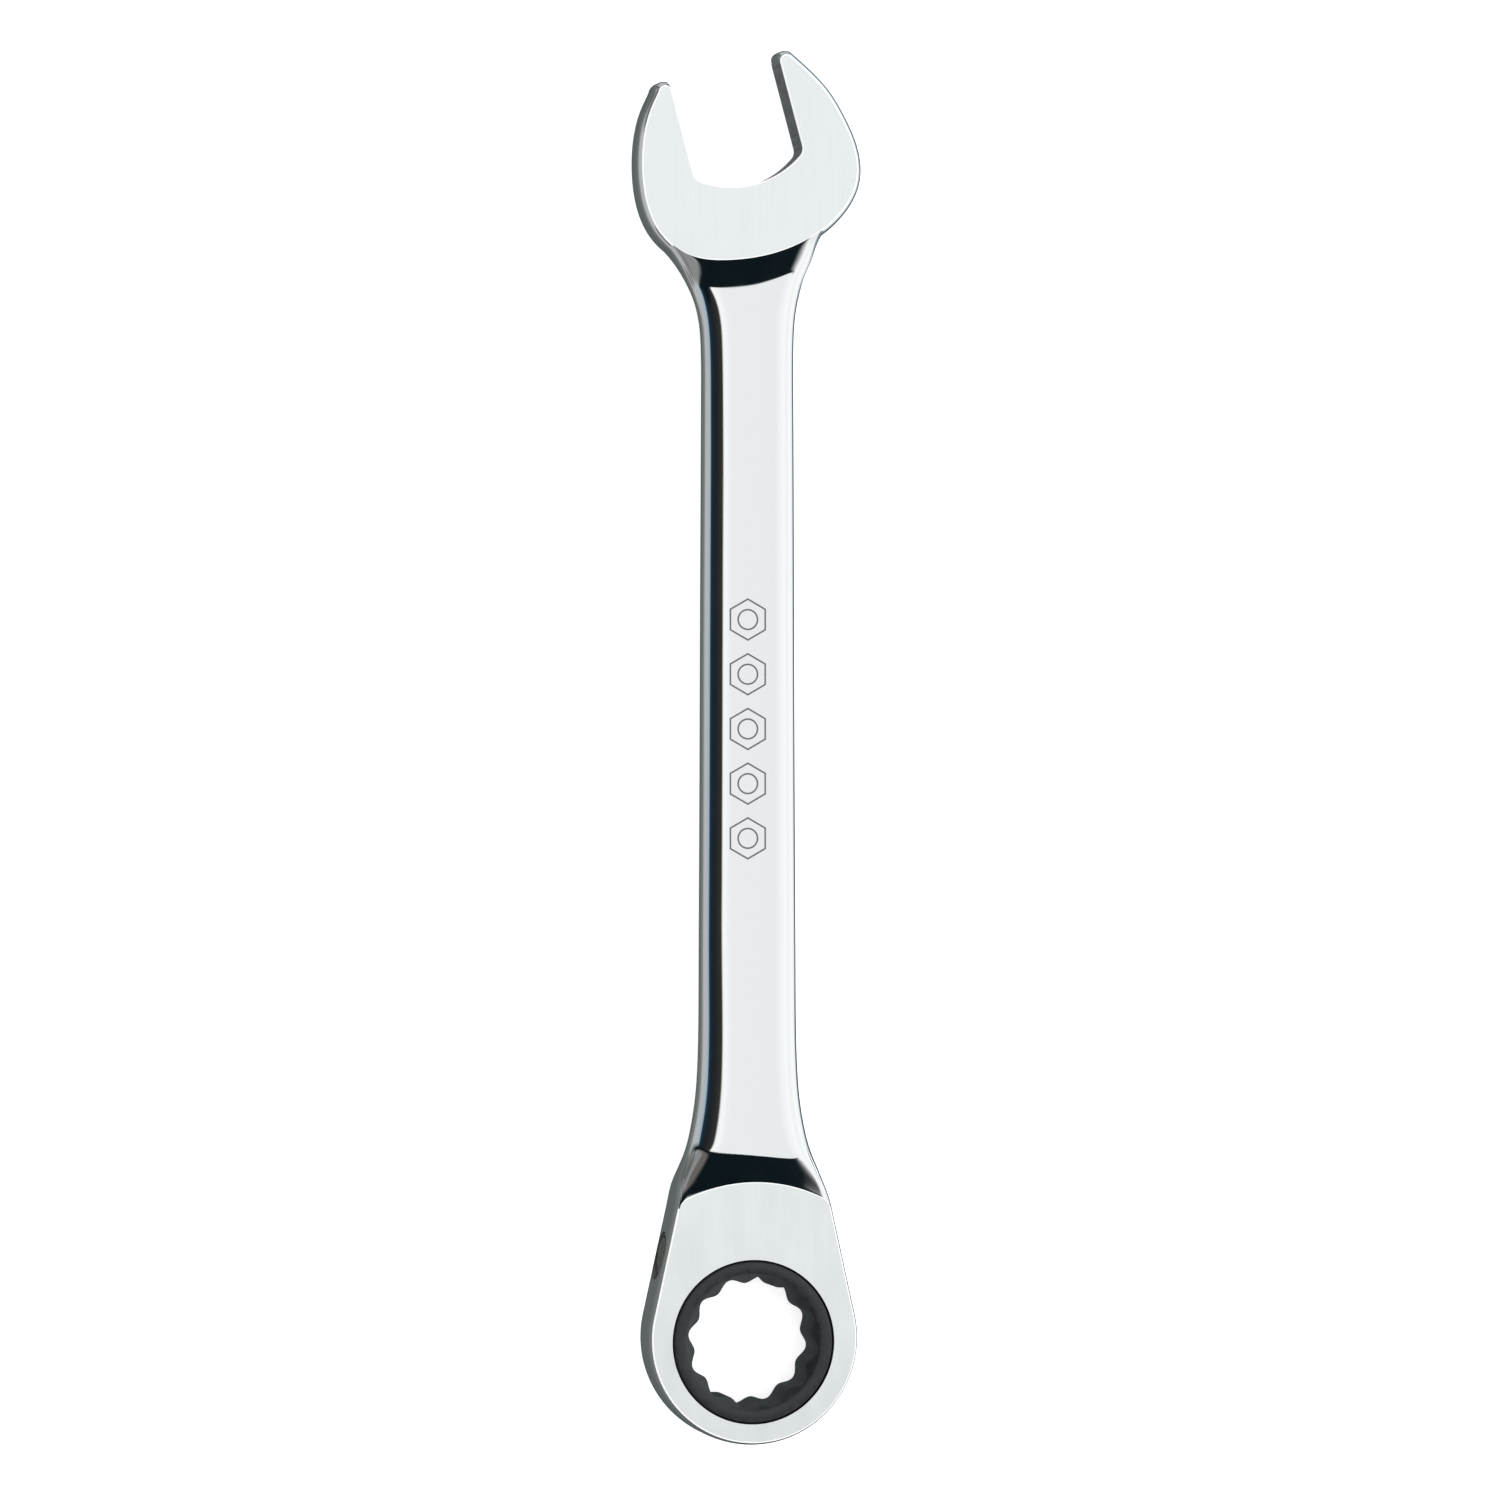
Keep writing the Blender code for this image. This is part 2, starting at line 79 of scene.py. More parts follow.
# Open head, across and along its jaw.
OPEN_HALF = 4.05
OPEN_BULGE = 1.0
JAW_TILT = math.radians(15.0)
JAW_AXIS_OFFSET = 50.8
JAW_HALF = 9.6
JAW_BOTTOM = 187.9
JAW_BOTTOM_RADIUS = 15.8
JAW_CORNER = 1.8
TIP_ROUND = 0.9
TIP_HEIGHT = 206.55
TIP_TURN = math.radians(35.0)
TIP_FADE = 2.2
OPEN_SIDES = (
    (11.42, 207.07), (13.3, 204.3), (15.8, 199.8), (17.35, 194.7), (18.1, 189.2), (17.0, 184.1),
    (12.5, 179.4), (6.4, 176.8), (-0.5, 176.0), (-7.5, 176.8), (-14.1, 179.45), (-17.65, 184.4),
    (-18.4, 189.4), (-17.8, 194.4), (-16.15, 199.8), (-13.35, 204.7), (-11.42, 207.07),
)
# Where the necks start on that outline, counted in its knots.
NECK_RIGHT = 6.6
NECK_LEFT = 10.45

# Edge easing of the ground faces: offset outwards and depth below the face.
EDGE_EASE = ((0.0, 0.0), (0.12, 0.03), (0.2, 0.1), (0.24, 0.24))
WALL_STEPS = 9
WALL_POWER = 6.0

# Shank: silhouettes left and right at mid-thickness, as Y and X, and its rounded section.
LEFT_EDGE = (
    (26.6, -12.56), (28.6, -11.88), (32.3, -10.54), (36.0, -9.65), (40.4, -8.95), (46.5, -8.5),
    (60.0, -8.3), (84.0, -8.19), (124.0, -8.04), (160.0, -7.88), (168.0, -7.98), (171.3, -8.25),
    (174.0, -8.82), (176.7, -9.78), (179.4, -11.14),
)
RIGHT_EDGE = (
    (26.6, 12.56), (28.6, 11.88), (32.3, 10.54), (36.0, 9.6), (40.4, 8.87), (46.5, 8.4),
    (60.0, 8.17), (84.0, 8.05), (124.0, 7.9), (160.0, 7.76), (168.0, 7.8), (171.3, 7.97),
    (174.0, 8.31), (176.7, 8.9), (179.4, 9.68), (182.1, 10.79),
)
NECK_SLOPES = (-0.92, 0.62)
SHANK_HALF = 3.45
SHANK_HALF_WIDTH = 8.0
SIDE_POWER = 4.4
FACE_POWER = 2.5
SHOULDER = 0.62
TOP_STEPS = 72
BOX_RAMP_END = 31.2
BOX_RAMP_TILT = 0.1
BOX_SWELL = 0.45
BOX_SWELL_LENGTH = 40.0
OPEN_RAMP_LENGTH = 4.8
WALL_RAMP_LENGTH = 8.5
RISE_POWERS = (1.15, 1.25)
OPEN_DIP = 0.22
OPEN_DIP_LENGTH = 30.0
# Rounding where a ramp leaves its ground face, and the rows along it that carry the painted
# highlight.
CREST_EASE = 0.25
CREST_ROWS = 2
# Distances over which the section and the ribs' curved ends turn into the plain shank's.
SECTION_BLEND = 10.0
STRAIGHTEN = 16.0

# Material slots of the forged body. The last slot is a painted highlight on the eased edges and
# crest rows.
CHROME_SLOT, GROUND_SLOT, MILLED_SLOT, BORE_SLOT, PAINTED_HIGHLIGHT_SLOT = range(5)

# Ring gear. TOOTH_STEPS are degrees within one tooth's pitch.
TOOTH_COUNT = 72
GEAR_HALF = 5.4
JOURNAL_RADIUS = 13.6
GEAR_CHAMFER = 0.25
TOOTH_TIP = 13.3
TOOTH_HEIGHT = 0.45
TOOTH_STEPS = (0.0, 0.25, 0.95, 2.0, 3.0, 4.0)
TOOTH_FLAT_END = 0.95
TOOTH_BAND = 3.2
SOCKET_LOBE = 9.98
SOCKET_POINT = 11.12
SOCKET_POINT_ANGLE = math.radians(22.0)
SOCKET_MOUTH = 11.44
SOCKET_EASE = 0.12
MOUTH_SLOPE = 0.5
GROOVE_TOP = -4.05
GROOVE_BOTTOM = -4.95
GROOVE_RADIUS = 13.2

# Pawl bore and its plug.
PAWL_BORE_RADIUS = 4.0
PAWL_BORE_RIM = -17.25
BORE_FOOT = (1.843, 11.858)
BORE_END = -4.7
BORE_START = -22.0
PLUG_RADIUS = 3.9
PLUG_FRONT = -17.0
PLUG_INNER = -15.2
PEG_RADIUS = 0.9
PEG_LENGTH = 1.6

# Pawl spring, along the same bore.
WIRE_RADIUS = 0.22
COIL_RADIUS = 1.6
COIL_TURNS = 5
COIL_START = -14.9
COIL_END = -10.5

# Row of etched hexagons on the shank's face, drawn as thin grey bands whose grey is painted shade
# and dark reflection of engraved grooves: MARK_PROUD and MARK_SINK are above and below it.
MARK_COUNT = 5
MARK_FIRST_Y = 84.6
MARK_PITCH = 9.2
MARK_CENTRE_X = -0.6
MARK_RADIUS = 3.6
MARK_LINE = 0.28
MARK_HOLE = 1.8
MARK_PROUD = 0.012
MARK_SINK = 0.05

# Studio: the camera's turn to the left, its distance and target, and the light it sees.
CAMERA_YAW = math.radians(10.8)
CAMERA_DISTANCE = 1.3
CAMERA_LENS = 185.0
CAMERA_TARGET = (0.79, -0.34, 5.5)
PLAIN_LIGHT = 0.75
FLOOR_GLOW = 0.62

# What mirror reflections see: the angle round the wrench's length, from straight up and
# positive to the left, with the red, green and blue of the light there.
WORLD_STOPS = (
    (-180, 0.1, 0.11, 0.11), (-155, 0.05, 0.07, 0.08), (-130, 0.08, 0.11, 0.13),
    (-120, 0.3, 0.36, 0.4), (-110, 1.0, 1.0, 1.0), (-80, 1.1, 1.1, 1.1),
    (-58, 0.98, 1.0, 1.0), (-45, 1.08, 1.08, 1.08), (-28, 1.0, 1.0, 1.0),
    (-20, 0.92, 0.93, 0.93), (-12, 0.93, 0.94, 0.945), (-6, 0.94, 0.95, 0.95),
    (0, 1.05, 1.05, 1.05), (4, 1.05, 1.04, 1.02), (7, 0.03, 0.024, 0.018),
    (24, 0.012, 0.01, 0.008), (38, 0.006, 0.01, 0.016), (51, 0.01, 0.025, 0.045),
    (56, 0.03, 0.07, 0.11), (61, 0.36, 0.45, 0.53), (72, 0.44, 0.51, 0.56),
    (92, 0.52, 0.53, 0.53), (106, 0.48, 0.49, 0.48), (118, 0.28, 0.29, 0.28),
    (130, 0.19, 0.2, 0.19), (160, 0.13, 0.14, 0.136), (180, 0.1, 0.11, 0.11),
)
DARKEST = (0.004, 0.009, 0.012)
WARM_TONE = (0.15, 0.138, 0.128)
END_TONE = (0.5, 0.52, 0.53)


def smoothstep(t):
    """Ease from 0 to 1."""
    t = np.clip(t, 0.0, 1.0)
    return t * t * (3.0 - 2.0 * t)


def cubic_through(knots, values, start_slope=None, end_slope=None):
    """Return a function that follows a C2 cubic spline through the values."""
    knots = np.asarray(knots, float)
    values = np.asarray(values, float)
    count = len(knots)
    gaps = np.diff(knots)
    system = np.zeros((count, count))
    right = np.zeros((count,) + values.shape[1:])
    for i in range(1, count - 1):
        system[i, i - 1 : i + 2] = (gaps[i - 1], 2 * (gaps[i - 1] + gaps[i]), gaps[i])
        rise = (values[i + 1] - values[i]) / gaps[i] - (values[i] - values[i - 1]) / gaps[i - 1]
        right[i] = 6 * rise
    system[0, 0] = 1.0
    system[-1, -1] = 1.0
    if start_slope is not None:
        system[0, :2] = (2 * gaps[0], gaps[0])
        right[0] = 6 * ((values[1] - values[0]) / gaps[0] - np.asarray(start_slope))
    if end_slope is not None:
        system[-1, -2:] = (gaps[-1], 2 * gaps[-1])
        right[-1] = 6 * (np.asarray(end_slope) - (values[-1] - values[-2]) / gaps[-1])
    bends = np.linalg.solve(system, right)

    def curve(at):
        at = np.asarray(at, float)
        i = np.clip(np.searchsorted(knots, at) - 1, 0, count - 2)
        gap = gaps[i]
        a = (knots[i + 1] - at) / gap
        b = (at - knots[i]) / gap
        if values.ndim > 1:
            a, b, gap = a[..., None], b[..., None], gap[..., None]
        bend = ((a**3 - a) * bends[i] + (b**3 - b) * bends[i + 1]) * gap**2 / 6
        return a * values[i] + b * values[i + 1] + bend

    return curve


def resample(points, count):
    """Return count + 1 points evenly spaced along a polyline."""
    steps = np.linalg.norm(np.diff(points, axis=0), axis=1)
    along = np.concatenate([[0.0], np.cumsum(steps)])
    at = np.linspace(0.0, along[-1], count + 1)
    return np.stack([np.interp(at, along, points[:, i]) for i in range(points.shape[1])], axis=1)


def arc_points(centre, radius, start, end, count, inward=False):
    """Return points and normals along an arc, both ends included."""
    angles = np.linspace(start, end, count + 1)
    normals = np.stack([np.cos(angles), np.sin(angles)], axis=1)
    points = np.asarray(centre) + radius * normals
    return points, (-normals if inward else normals)


def line_points(start, end, normal, count):
    """Return points and a constant normal along a line, both ends included."""
    share = np.linspace(0.0, 1.0, count + 1)[:, None]
    points = np.asarray(start) * (1 - share) + np.asarray(end) * share
    return points, np.tile(np.asarray(normal, float), (count + 1, 1))


def chain(parts):
    """Join runs of points and normals, dropping each shared first point."""
    points = [parts[0][0]] + [part[0][1:] for part in parts[1:]]
    normals = [parts[0][1]] + [part[1][1:] for part in parts[1:]]
    return np.concatenate(points), np.concatenate(normals)


def inside(point, loop):
    """Say whether a point lies inside a closed loop."""
    x, y = point
    x1, y1 = loop[:, 0], loop[:, 1]
    x2, y2 = np.roll(x1, -1), np.roll(y1, -1)
    crosses = (y1 > y) != (y2 > y)
    at = x1 + (y - y1) * (x2 - x1) / np.where(y2 == y1, 1.0, y2 - y1)
    return bool(np.sum(crosses & (x < at)) % 2)


def add_object(name, data):
    """Add one object to the scene."""
    created = bpy.data.objects.new(name, data)
    bpy.context.scene.collection.objects.link(created)
    return created


class Patches:
    """Collects patches of one mesh, in millimetres about the ring axis, and welds them."""

    def __init__(self):
        self.points = []
        self.faces = []
        self.slots = []
        self.count = 0

    def add_points(self, points):
        """Add points, and return the number of the first."""
        first = self.count
        block = np.asarray(points, float).reshape(-1, 3)
        self.points.append(block)
        self.count += len(block)
        return first

    def grid(self, points, slots=0, closed=False):
        """Add a rows by columns grid of quads; slots is one slot, or one for each quad."""
        rows, columns = points.shape[:2]
        first = self.add_points(points)
        spans = columns if closed else columns - 1
        for r in range(rows - 1):
            for c in range(spans):
                after = (c + 1) % columns
                low = first + r * columns
                high = low + columns
                self.faces.append((low + c, low + after, high + after, high + c))
                self.slots.append(slots if isinstance(slots, int) else int(slots[r, c]))

    def flat(self, outline, hole, height, slot):
        """Fill a flat outline, with an optional hole, at one height."""
        loops = [outline] if hole is None else [outline, hole]
        points = np.concatenate(loops)
        edges = []
        start = 0
        for loop in loops:
            size = len(loop)
            edges += [(start + i, start + (i + 1) % size) for i in range(size)]
            start += size
        filled = delaunay_2d_cdt([Vector(p) for p in points], edges, [], 0, 1e-6)
        coords = np.array([tuple(v) for v in filled[0]])
        first = self.add_points(np.column_stack([coords, np.full(len(coords), height)]))
        for face in filled[2]:
            middle = coords[list(face)].mean(axis=0)
            if not inside(middle, outline):
                continue
            if hole is not None and inside(middle, hole):
                continue
            self.faces.append(tuple(first + i for i in face))
            self.slots.append(slot)

    def mirrored(self):
        """Add the same patches again, mirrored through mid-thickness."""
        first = self.add_points(np.concatenate(self.points) * (1, 1, -1))
        self.faces += [tuple(first + i for i in face) for face in self.faces]
        self.slots += self.slots

    def mesh(self, name, materials, weld=0.002):
        """Weld the patches and return them as one object in the frame's metres."""
        mesh = bpy.data.meshes.new(name)
        places = np.concatenate(self.points) * MM + RING_AXIS
        mesh.from_pydata(places.tolist(), [], self.faces)
        for material in materials:
            mesh.materials.append(material)
        mesh.polygons.foreach_set("material_index", self.slots)
        shape = bmesh.new()
        shape.from_mesh(mesh)
        bmesh.ops.remove_doubles(shape, verts=shape.verts, dist=weld * MM)
        bmesh.ops.recalc_face_normals(shape, faces=shape.faces)
        shape.to_mesh(mesh)
        shape.free()
        return add_object(name, mesh)


def shade(piece, angle=math.radians(40.0)):
    """Shade smoothly, with sharp edges at steep corners and where two finishes meet."""
    mesh = piece.data
    mesh.polygons.foreach_set("use_smooth", [True] * len(mesh.polygons))
    shape = bmesh.new()
    shape.from_mesh(mesh)
    for edge in shape.edges:
        faces = edge.link_faces
        if len(faces) != 2:
            continue
        finish_changes = faces[0].material_index != faces[1].material_index
        edge.smooth = not (finish_changes or edge.calc_face_angle(0.0) > angle)
    shape.to_mesh(mesh)
    shape.free()


def wall_rows(face_edge, normals, spread, half):
    """Rows of a head's side wall, from its face's edge down to mid-thickness.

    The wall starts with the small eased edge, then swells by spread towards the middle.
    """
    rows = []
    for offset, depth in EDGE_EASE:
        plan = face_edge + normals * offset
        rows.append(np.column_stack([plan, np.full(len(plan), half - depth)]))
    offset, depth = EDGE_EASE[-1]
    top = half - depth
    for step in range(1, WALL_STEPS + 1):
        z = top * (1 - step / WALL_STEPS)
        plan = face_edge + normals * offset + spread * (1 - (z / top) ** WALL_POWER)
        rows.append(np.column_stack([plan, np.full(len(plan), z)]))
    return np.array(rows)


def wall_slots(rows, columns):
    """Material slots of a wall: its eased edge gets the painted highlight, and the rest keeps its
    own slot.
    """
    slots = np.tile(np.asarray(columns, int), (rows - 1, 1))
    slots[: len(EDGE_EASE) - 1] = PAINTED_HIGHLIGHT_SLOT
    return slots


def box_outline():
    """Face outline of the box head: its wall's run, and the plateau's top edge.

    The run goes from the left corner round the bottom to the right corner. The top edge goes
    from the left corner to the right one.
    """
    normal = np.array([math.cos(BOX_LEAN), math.sin(BOX_LEAN)])
    along = np.array([-math.sin(BOX_LEAN), math.cos(BOX_LEAN)])
    foot = np.array([0.0, BOX_CENTRE_Y]) + BOX_RADIUS * normal
    inner = foot - BOX_CORNER * normal
    reach = BOX_TOP_RADIUS - BOX_CORNER
    half_b = inner @ along
    climb = -half_b + math.sqrt(half_b**2 - inner @ inner + reach**2)
    corner = inner + climb * along
    turn = math.atan2(corner[1], corner[0])
    side = line_points(foot, foot + climb * along, normal, 16)
    right_round = arc_points(corner, BOX_CORNER, BOX_LEAN, turn, 10)
    over = arc_points((0.0, 0.0), BOX_TOP_RADIUS, turn, math.pi - turn, 60)
    flip = np.array([-1.0, 1.0])
    left_round = (right_round[0][::-1] * flip, right_round[1][::-1] * flip)
    left_side = (side[0][::-1] * flip, side[1][::-1] * flip)
    ends = (math.pi - BOX_LEAN, 2 * math.pi + BOX_LEAN)
    circle = arc_points((0.0, BOX_CENTRE_Y), BOX_RADIUS, *ends, 150)
    run = chain([left_side, circle, side])
    top = chain([right_round, over, left_round])
    shift = np.array((BOX_CENTRE_X, 0.0))
    return (run[0] + shift, run[1]), top[0][::-1] + shift


def turned_to_wrench(points, shift=True):
    """Turn points, or directions, across and along the jaw into the wrench's X and Y."""
    across = points[:, 0] + (JAW_AXIS_OFFSET if shift else 0.0)
    along = points[:, 1]
    x = across * math.cos(JAW_TILT) - along * math.sin(JAW_TILT)
    y = across * math.sin(JAW_TILT) + along * math.cos(JAW_TILT)
    return np.stack([x, y], axis=1)


def open_sides():
    """Spline round the open head's outside, and its parameter at each knot."""
    knots = np.array(OPEN_SIDES)
    steps = np.linalg.norm(np.diff(knots, axis=0), axis=1)
    at = np.concatenate([[0.0], np.cumsum(steps)])
    start = (math.sin(TIP_TURN), -math.cos(TIP_TURN))
    end = (math.sin(TIP_TURN), math.cos(TIP_TURN))
    return cubic_through(at, knots, start, end), at


def side_run(curve, start, end, count):
    """Points and outward normals along the open head's outside."""
    at = np.linspace(start, end, count + 1)
    points = curve(at)
    travel = curve(at + 0.005) - curve(at - 0.005)
    travel /= np.linalg.norm(travel, axis=1)[:, None]
    return points, np.stack([-travel[:, 1], travel[:, 0]], axis=1)


def open_outline():
    """Face outline of the open head: its wall's run, and the lower edge between its necks.

    The run goes from the right neck corner round both tips and the jaw to the left neck
    corner. The lower edge goes from the left neck corner to the right one.
    """
    curve, at = open_sides()
    right_end = np.interp(NECK_RIGHT, range(len(at)), at)
    left_end = np.interp(NECK_LEFT, range(len(at)), at)
    inset = EDGE_EASE[-1][0]
    half = JAW_HALF + inset
    radius = JAW_BOTTOM_RADIUS + inset
    corner = JAW_CORNER + inset
    centre_v = JAW_BOTTOM + JAW_BOTTOM_RADIUS
    corner_u = half - corner
    corner_v = centre_v - math.sqrt((radius - corner) ** 2 - corner_u**2)
    bend = math.atan2(corner_v - centre_v, corner_u)
    tip_u = half + TIP_ROUND
    right = side_run(curve, right_end, 0.0, 70)
    right_tip = arc_points((tip_u, TIP_HEIGHT), TIP_ROUND, TIP_TURN, math.pi, 14)
    parts = [
        right,
        right_tip,
        line_points((half, TIP_HEIGHT), (half, corner_v), (-1, 0), 30),
        arc_points((corner_u, corner_v), corner, 0.0, bend, 8, True),
        arc_points((0.0, centre_v), radius, bend, -math.pi - bend, 40, True),
        arc_points((-corner_u, corner_v), corner, -math.pi - bend, -math.pi, 8, True),
        line_points((-half, corner_v), (-half, TIP_HEIGHT), (1, 0), 30),
        arc_points((-tip_u, TIP_HEIGHT), TIP_ROUND, 0.0, math.pi - TIP_TURN, 14),
        side_run(curve, at[-1], left_end, 80),
    ]
    points, normals = chain(parts)
    sizes = [len(part[0]) - 1 for part in parts]
    jaw_from = sizes[0] + sizes[1]
    jaw_to = sum(sizes[:7])
    weights = np.ones(len(points))
    slots = np.zeros(len(points), int)
    slots[jaw_from:jaw_to] = MILLED_SLOT
    weights[jaw_from : jaw_to + 1] = 0.0
    fade = smoothstep(np.linspace(0.0, TIP_FADE, sizes[1] + 1))
    weights[sizes[0] : jaw_from + 1] = fade[::-1]
    weights[jaw_to : jaw_to + sizes[7] + 1] = fade
    spread = normals * (weights * (OPEN_BULGE - inset))[:, None]
    lower = side_run(curve, left_end, right_end, 120)[0]
    points = turned_to_wrench(points)
    normals = turned_to_wrench(normals, shift=False)
    spread = turned_to_wrench(spread, shift=False)
    return points, normals, spread, slots, turned_to_wrench(lower)


def shank_section():
    """Half of the shank's unit section, from its silhouette up to the middle of its face."""
    angles = np.linspace(0.0, math.pi / 2, 4001)
    x = np.cos(angles) ** (2 / SIDE_POWER)
    z = np.sin(angles) ** (2 / FACE_POWER)
    size = (SHANK_HALF_WIDTH, SHANK_HALF)
    real = np.stack([x, z], axis=1) * size
    split = int(np.searchsorted(z, SHOULDER))
    wall = resample(real[: split + 1], WALL_STEPS + len(EDGE_EASE) - 1)
    face = resample(real[split:], TOP_STEPS // 2)
    half = np.concatenate([wall, face[1:]]) / size
    right = half[::-1][1:]
    return np.concatenate([half * (-1, 1), right])


def end_rib(left, top, right):
    """Join a left wall column, a face edge and a right wall column into one rib."""
    height = np.full((TOP_STEPS + 1, 1), left[0, 2])
    over = np.concatenate([resample(top, TOP_STEPS), height], axis=1)
    return np.concatenate([left[::-1], over[1:-1], right])


def neck_ribs(box_rib, open_rib):
    """Ribs from the box head's plateau along the shank to the open head's face."""
    section = shank_section()
    box_y = box_rib[0, 1]
    open_y = open_rib[0, 1]
    left_knots = [(box_y, box_rib[0, 0]), *LEFT_EDGE, (open_rib[0, 1], open_rib[0, 0])]
    right_knots = [(box_y, box_rib[-1, 0]), *RIGHT_EDGE, (open_rib[-1, 1], open_rib[-1, 0])]
    lean = math.tan(BOX_LEAN)
    left_edge = cubic_through(*zip(*left_knots), lean, NECK_SLOPES[0])
    right_edge = cubic_through(*zip(*right_knots), -lean, NECK_SLOPES[1])

    def unit(rib):
        centre = (rib[0, 0] + rib[-1, 0]) / 2
        half = (rib[-1, 0] - rib[0, 0]) / 2
        return (rib[:, 0] - centre) / half, rib[:, 2] / rib[:, 2].max(), rib[:, 1]

    box_x, box_z, box_ys = unit(box_rib)
    open_x, open_z, open_ys = unit(open_rib)
    near = np.concatenate([[0.0, 0.08, 0.17, 0.27], np.arange(0.4, 10.0, 0.3)])
    middle = np.arange(box_y + 10.0, open_y - 10.0, 0.8)
    stations = np.concatenate([box_y + near, middle, open_y - near[::-1]])
    face_share = smoothstep((section[:, 1] - 0.5) / 0.45)
    ribs = []
    for y in stations:
        from_box = y - box_y
        from_open = open_y - y
        b = 1 - smoothstep((from_box - 1.0) / SECTION_BLEND)
        o = 1 - math.sin(min(from_open / SECTION_BLEND, 1.0) * math.pi / 2)
        x_unit = section[:, 0] * (1 - b - o) + box_x * b + open_x * o
        z_unit = section[:, 1] * (1 - b - o) + box_z * b + open_z * o
        lift = (1 - smoothstep(from_box / STRAIGHTEN)) * (box_ys - box_y)
        lift = lift + (1 - smoothstep(from_open / STRAIGHTEN)) * (open_ys - open_y)
        place = y + lift
        left = left_edge(place[0])
        right = right_edge(place[-1])
        x = (left + right) / 2 + (right - left) / 2 * x_unit
        dip = OPEN_DIP * (1 - smoothstep((open_ys - place - 6.0) / OPEN_DIP_LENGTH))
        swell = BOX_SWELL * (1 - smoothstep((place - box_ys - 5.0) / BOX_SWELL_LENGTH))
        height = SHANK_HALF - dip + swell
        box_rise = BOX_HALF - SHANK_HALF - BOX_SWELL
        box_length = BOX_RAMP_END - BOX_RAMP_TILT * x - box_ys
        open_rise = OPEN_HALF - SHANK_HALF + OPEN_DIP
        for distance, rise, length, power in (
            (place - box_ys, box_rise, box_length, RISE_POWERS[0]),
            (open_ys - place, open_rise, OPEN_RAMP_LENGTH, RISE_POWERS[1]),
        ):
            length = WALL_RAMP_LENGTH + (length - WALL_RAMP_LENGTH) * face_share
            eased = np.hypot(distance, CREST_EASE) - CREST_EASE
            height = height + rise * np.clip(1 - eased / length, 0.0, 1.0) ** power
        ribs.append(np.stack([x, place, z_unit * height], axis=1))
    return np.array(ribs)


def ring_points(radius, height, count):
    """Points round the ring axis at one height."""
    angles = np.arange(count) * 2 * math.pi / count
    return np.stack(
        [radius * np.cos(angles), radius * np.sin(angles), np.full(count, height)], axis=1
    )


def make_body(materials):
    """Build the forged body: both heads, the necks and the shank. Return its ribs as well."""
    patches = Patches()
    (run, run_normals), top = box_outline()
    inset = EDGE_EASE[-1][0]
    box_wall = wall_rows(run, run_normals, run_normals * (BOX_BULGE - inset), BOX_HALF)
    patches.grid(box_wall, wall_slots(len(box_wall), np.zeros(len(run) - 1)))
    bore = ring_points(BORE_EDGE, BOX_HALF, BORE_STEPS)
    points, normals, spread, slots, lower = open_outline()
    open_wall = wall_rows(points, normals, spread, OPEN_HALF)
    patches.grid(open_wall, wall_slots(len(open_wall), slots[:-1]))
    box_rib = end_rib(box_wall[:, 0], top, box_wall[:, -1])
    open_rib = end_rib(open_wall[:, -1], lower, open_wall[:, 0])
    ribs = neck_ribs(box_rib, open_rib)
    wall_count = WALL_STEPS + len(EDGE_EASE) - 1
    rib_slots = np.zeros((len(ribs) - 1, ribs.shape[1] - 1), int)
    # The crest rows next to both ground faces get the painted highlight.
    rib_slots[:CREST_ROWS, wall_count:-wall_count] = PAINTED_HIGHLIGHT_SLOT
    rib_slots[-CREST_ROWS:, wall_count:-wall_count] = PAINTED_HIGHLIGHT_SLOT
    patches.grid(ribs, rib_slots)
    box_top = ribs[0, wall_count + 1 : -wall_count - 1, :2]
    open_top = ribs[-1, wall_count + 1 : -wall_count - 1, :2]
    outline = np.concatenate([run, box_top[::-1]])
    patches.flat(outline, bore[:, :2], BOX_HALF, GROUND_SLOT)
    patches.flat(np.concatenate([points, open_top]), None, OPEN_HALF, GROUND_SLOT)
    # The bore's wall takes the near-black bore material, which is painted shade.
    depths = (BOX_HALF - BORE_EDGE_DEPTH, BORE_BAND, 0.0)
    bore_rows = [bore] + [ring_points(BORE_RADIUS, z, BORE_STEPS) for z in depths]
    patches.grid(np.array(bore_rows), BORE_SLOT, closed=True)
    patches.mirrored()
    return patches.mesh("forged_body", materials), ribs


def bore_frame():
    """Matrix that stands a shape drawn along Z on the pawl bore's axis."""
    foot = Vector((BORE_FOOT[0] * MM, BORE_FOOT[1] * MM, 0.0)) + Vector(RING_AXIS)
    turn = (-PAWL_AXIS).to_track_quat("Z", "Y").to_matrix().to_4x4()
    return Matrix.Translation(foot) @ turn


def turned_shape(name, profile, steps, materials, slots=0):
    """Turn a closed profile of radius and station about the pawl bore's axis."""
    mesh = bpy.data.meshes.new(name)
    shape = bmesh.new()
    rings = []
    place = bore_frame()
    for radius, station in profile:
        if radius == 0.0:
            rings.append([shape.verts.new(place @ Vector((0, 0, station * MM)))])
            continue
        ring = []
        for step in range(steps):
            a = 2 * math.pi * step / steps
            spot = Vector((radius * math.cos(a) * MM, radius * math.sin(a) * MM, station * MM))
            ring.append(shape.verts.new(place @ spot))
        rings.append(ring)
    for index, (low, high) in enumerate(zip(rings, rings[1:])):
        for step in range(steps):
            after = (step + 1) % steps
            corners = [low[step % len(low)], low[after % len(low)]]
            corners += [high[after % len(high)], high[step % len(high)]]
            face = shape.faces.new(list(dict.fromkeys(corners)))
            face.material_index = slots if isinstance(slots, int) else slots[index]
    bmesh.ops.recalc_face_normals(shape, faces=shape.faces)
    shape.to_mesh(mesh)
    shape.free()
    for material in materials:
        mesh.materials.append(material)
    return add_object(name, mesh)


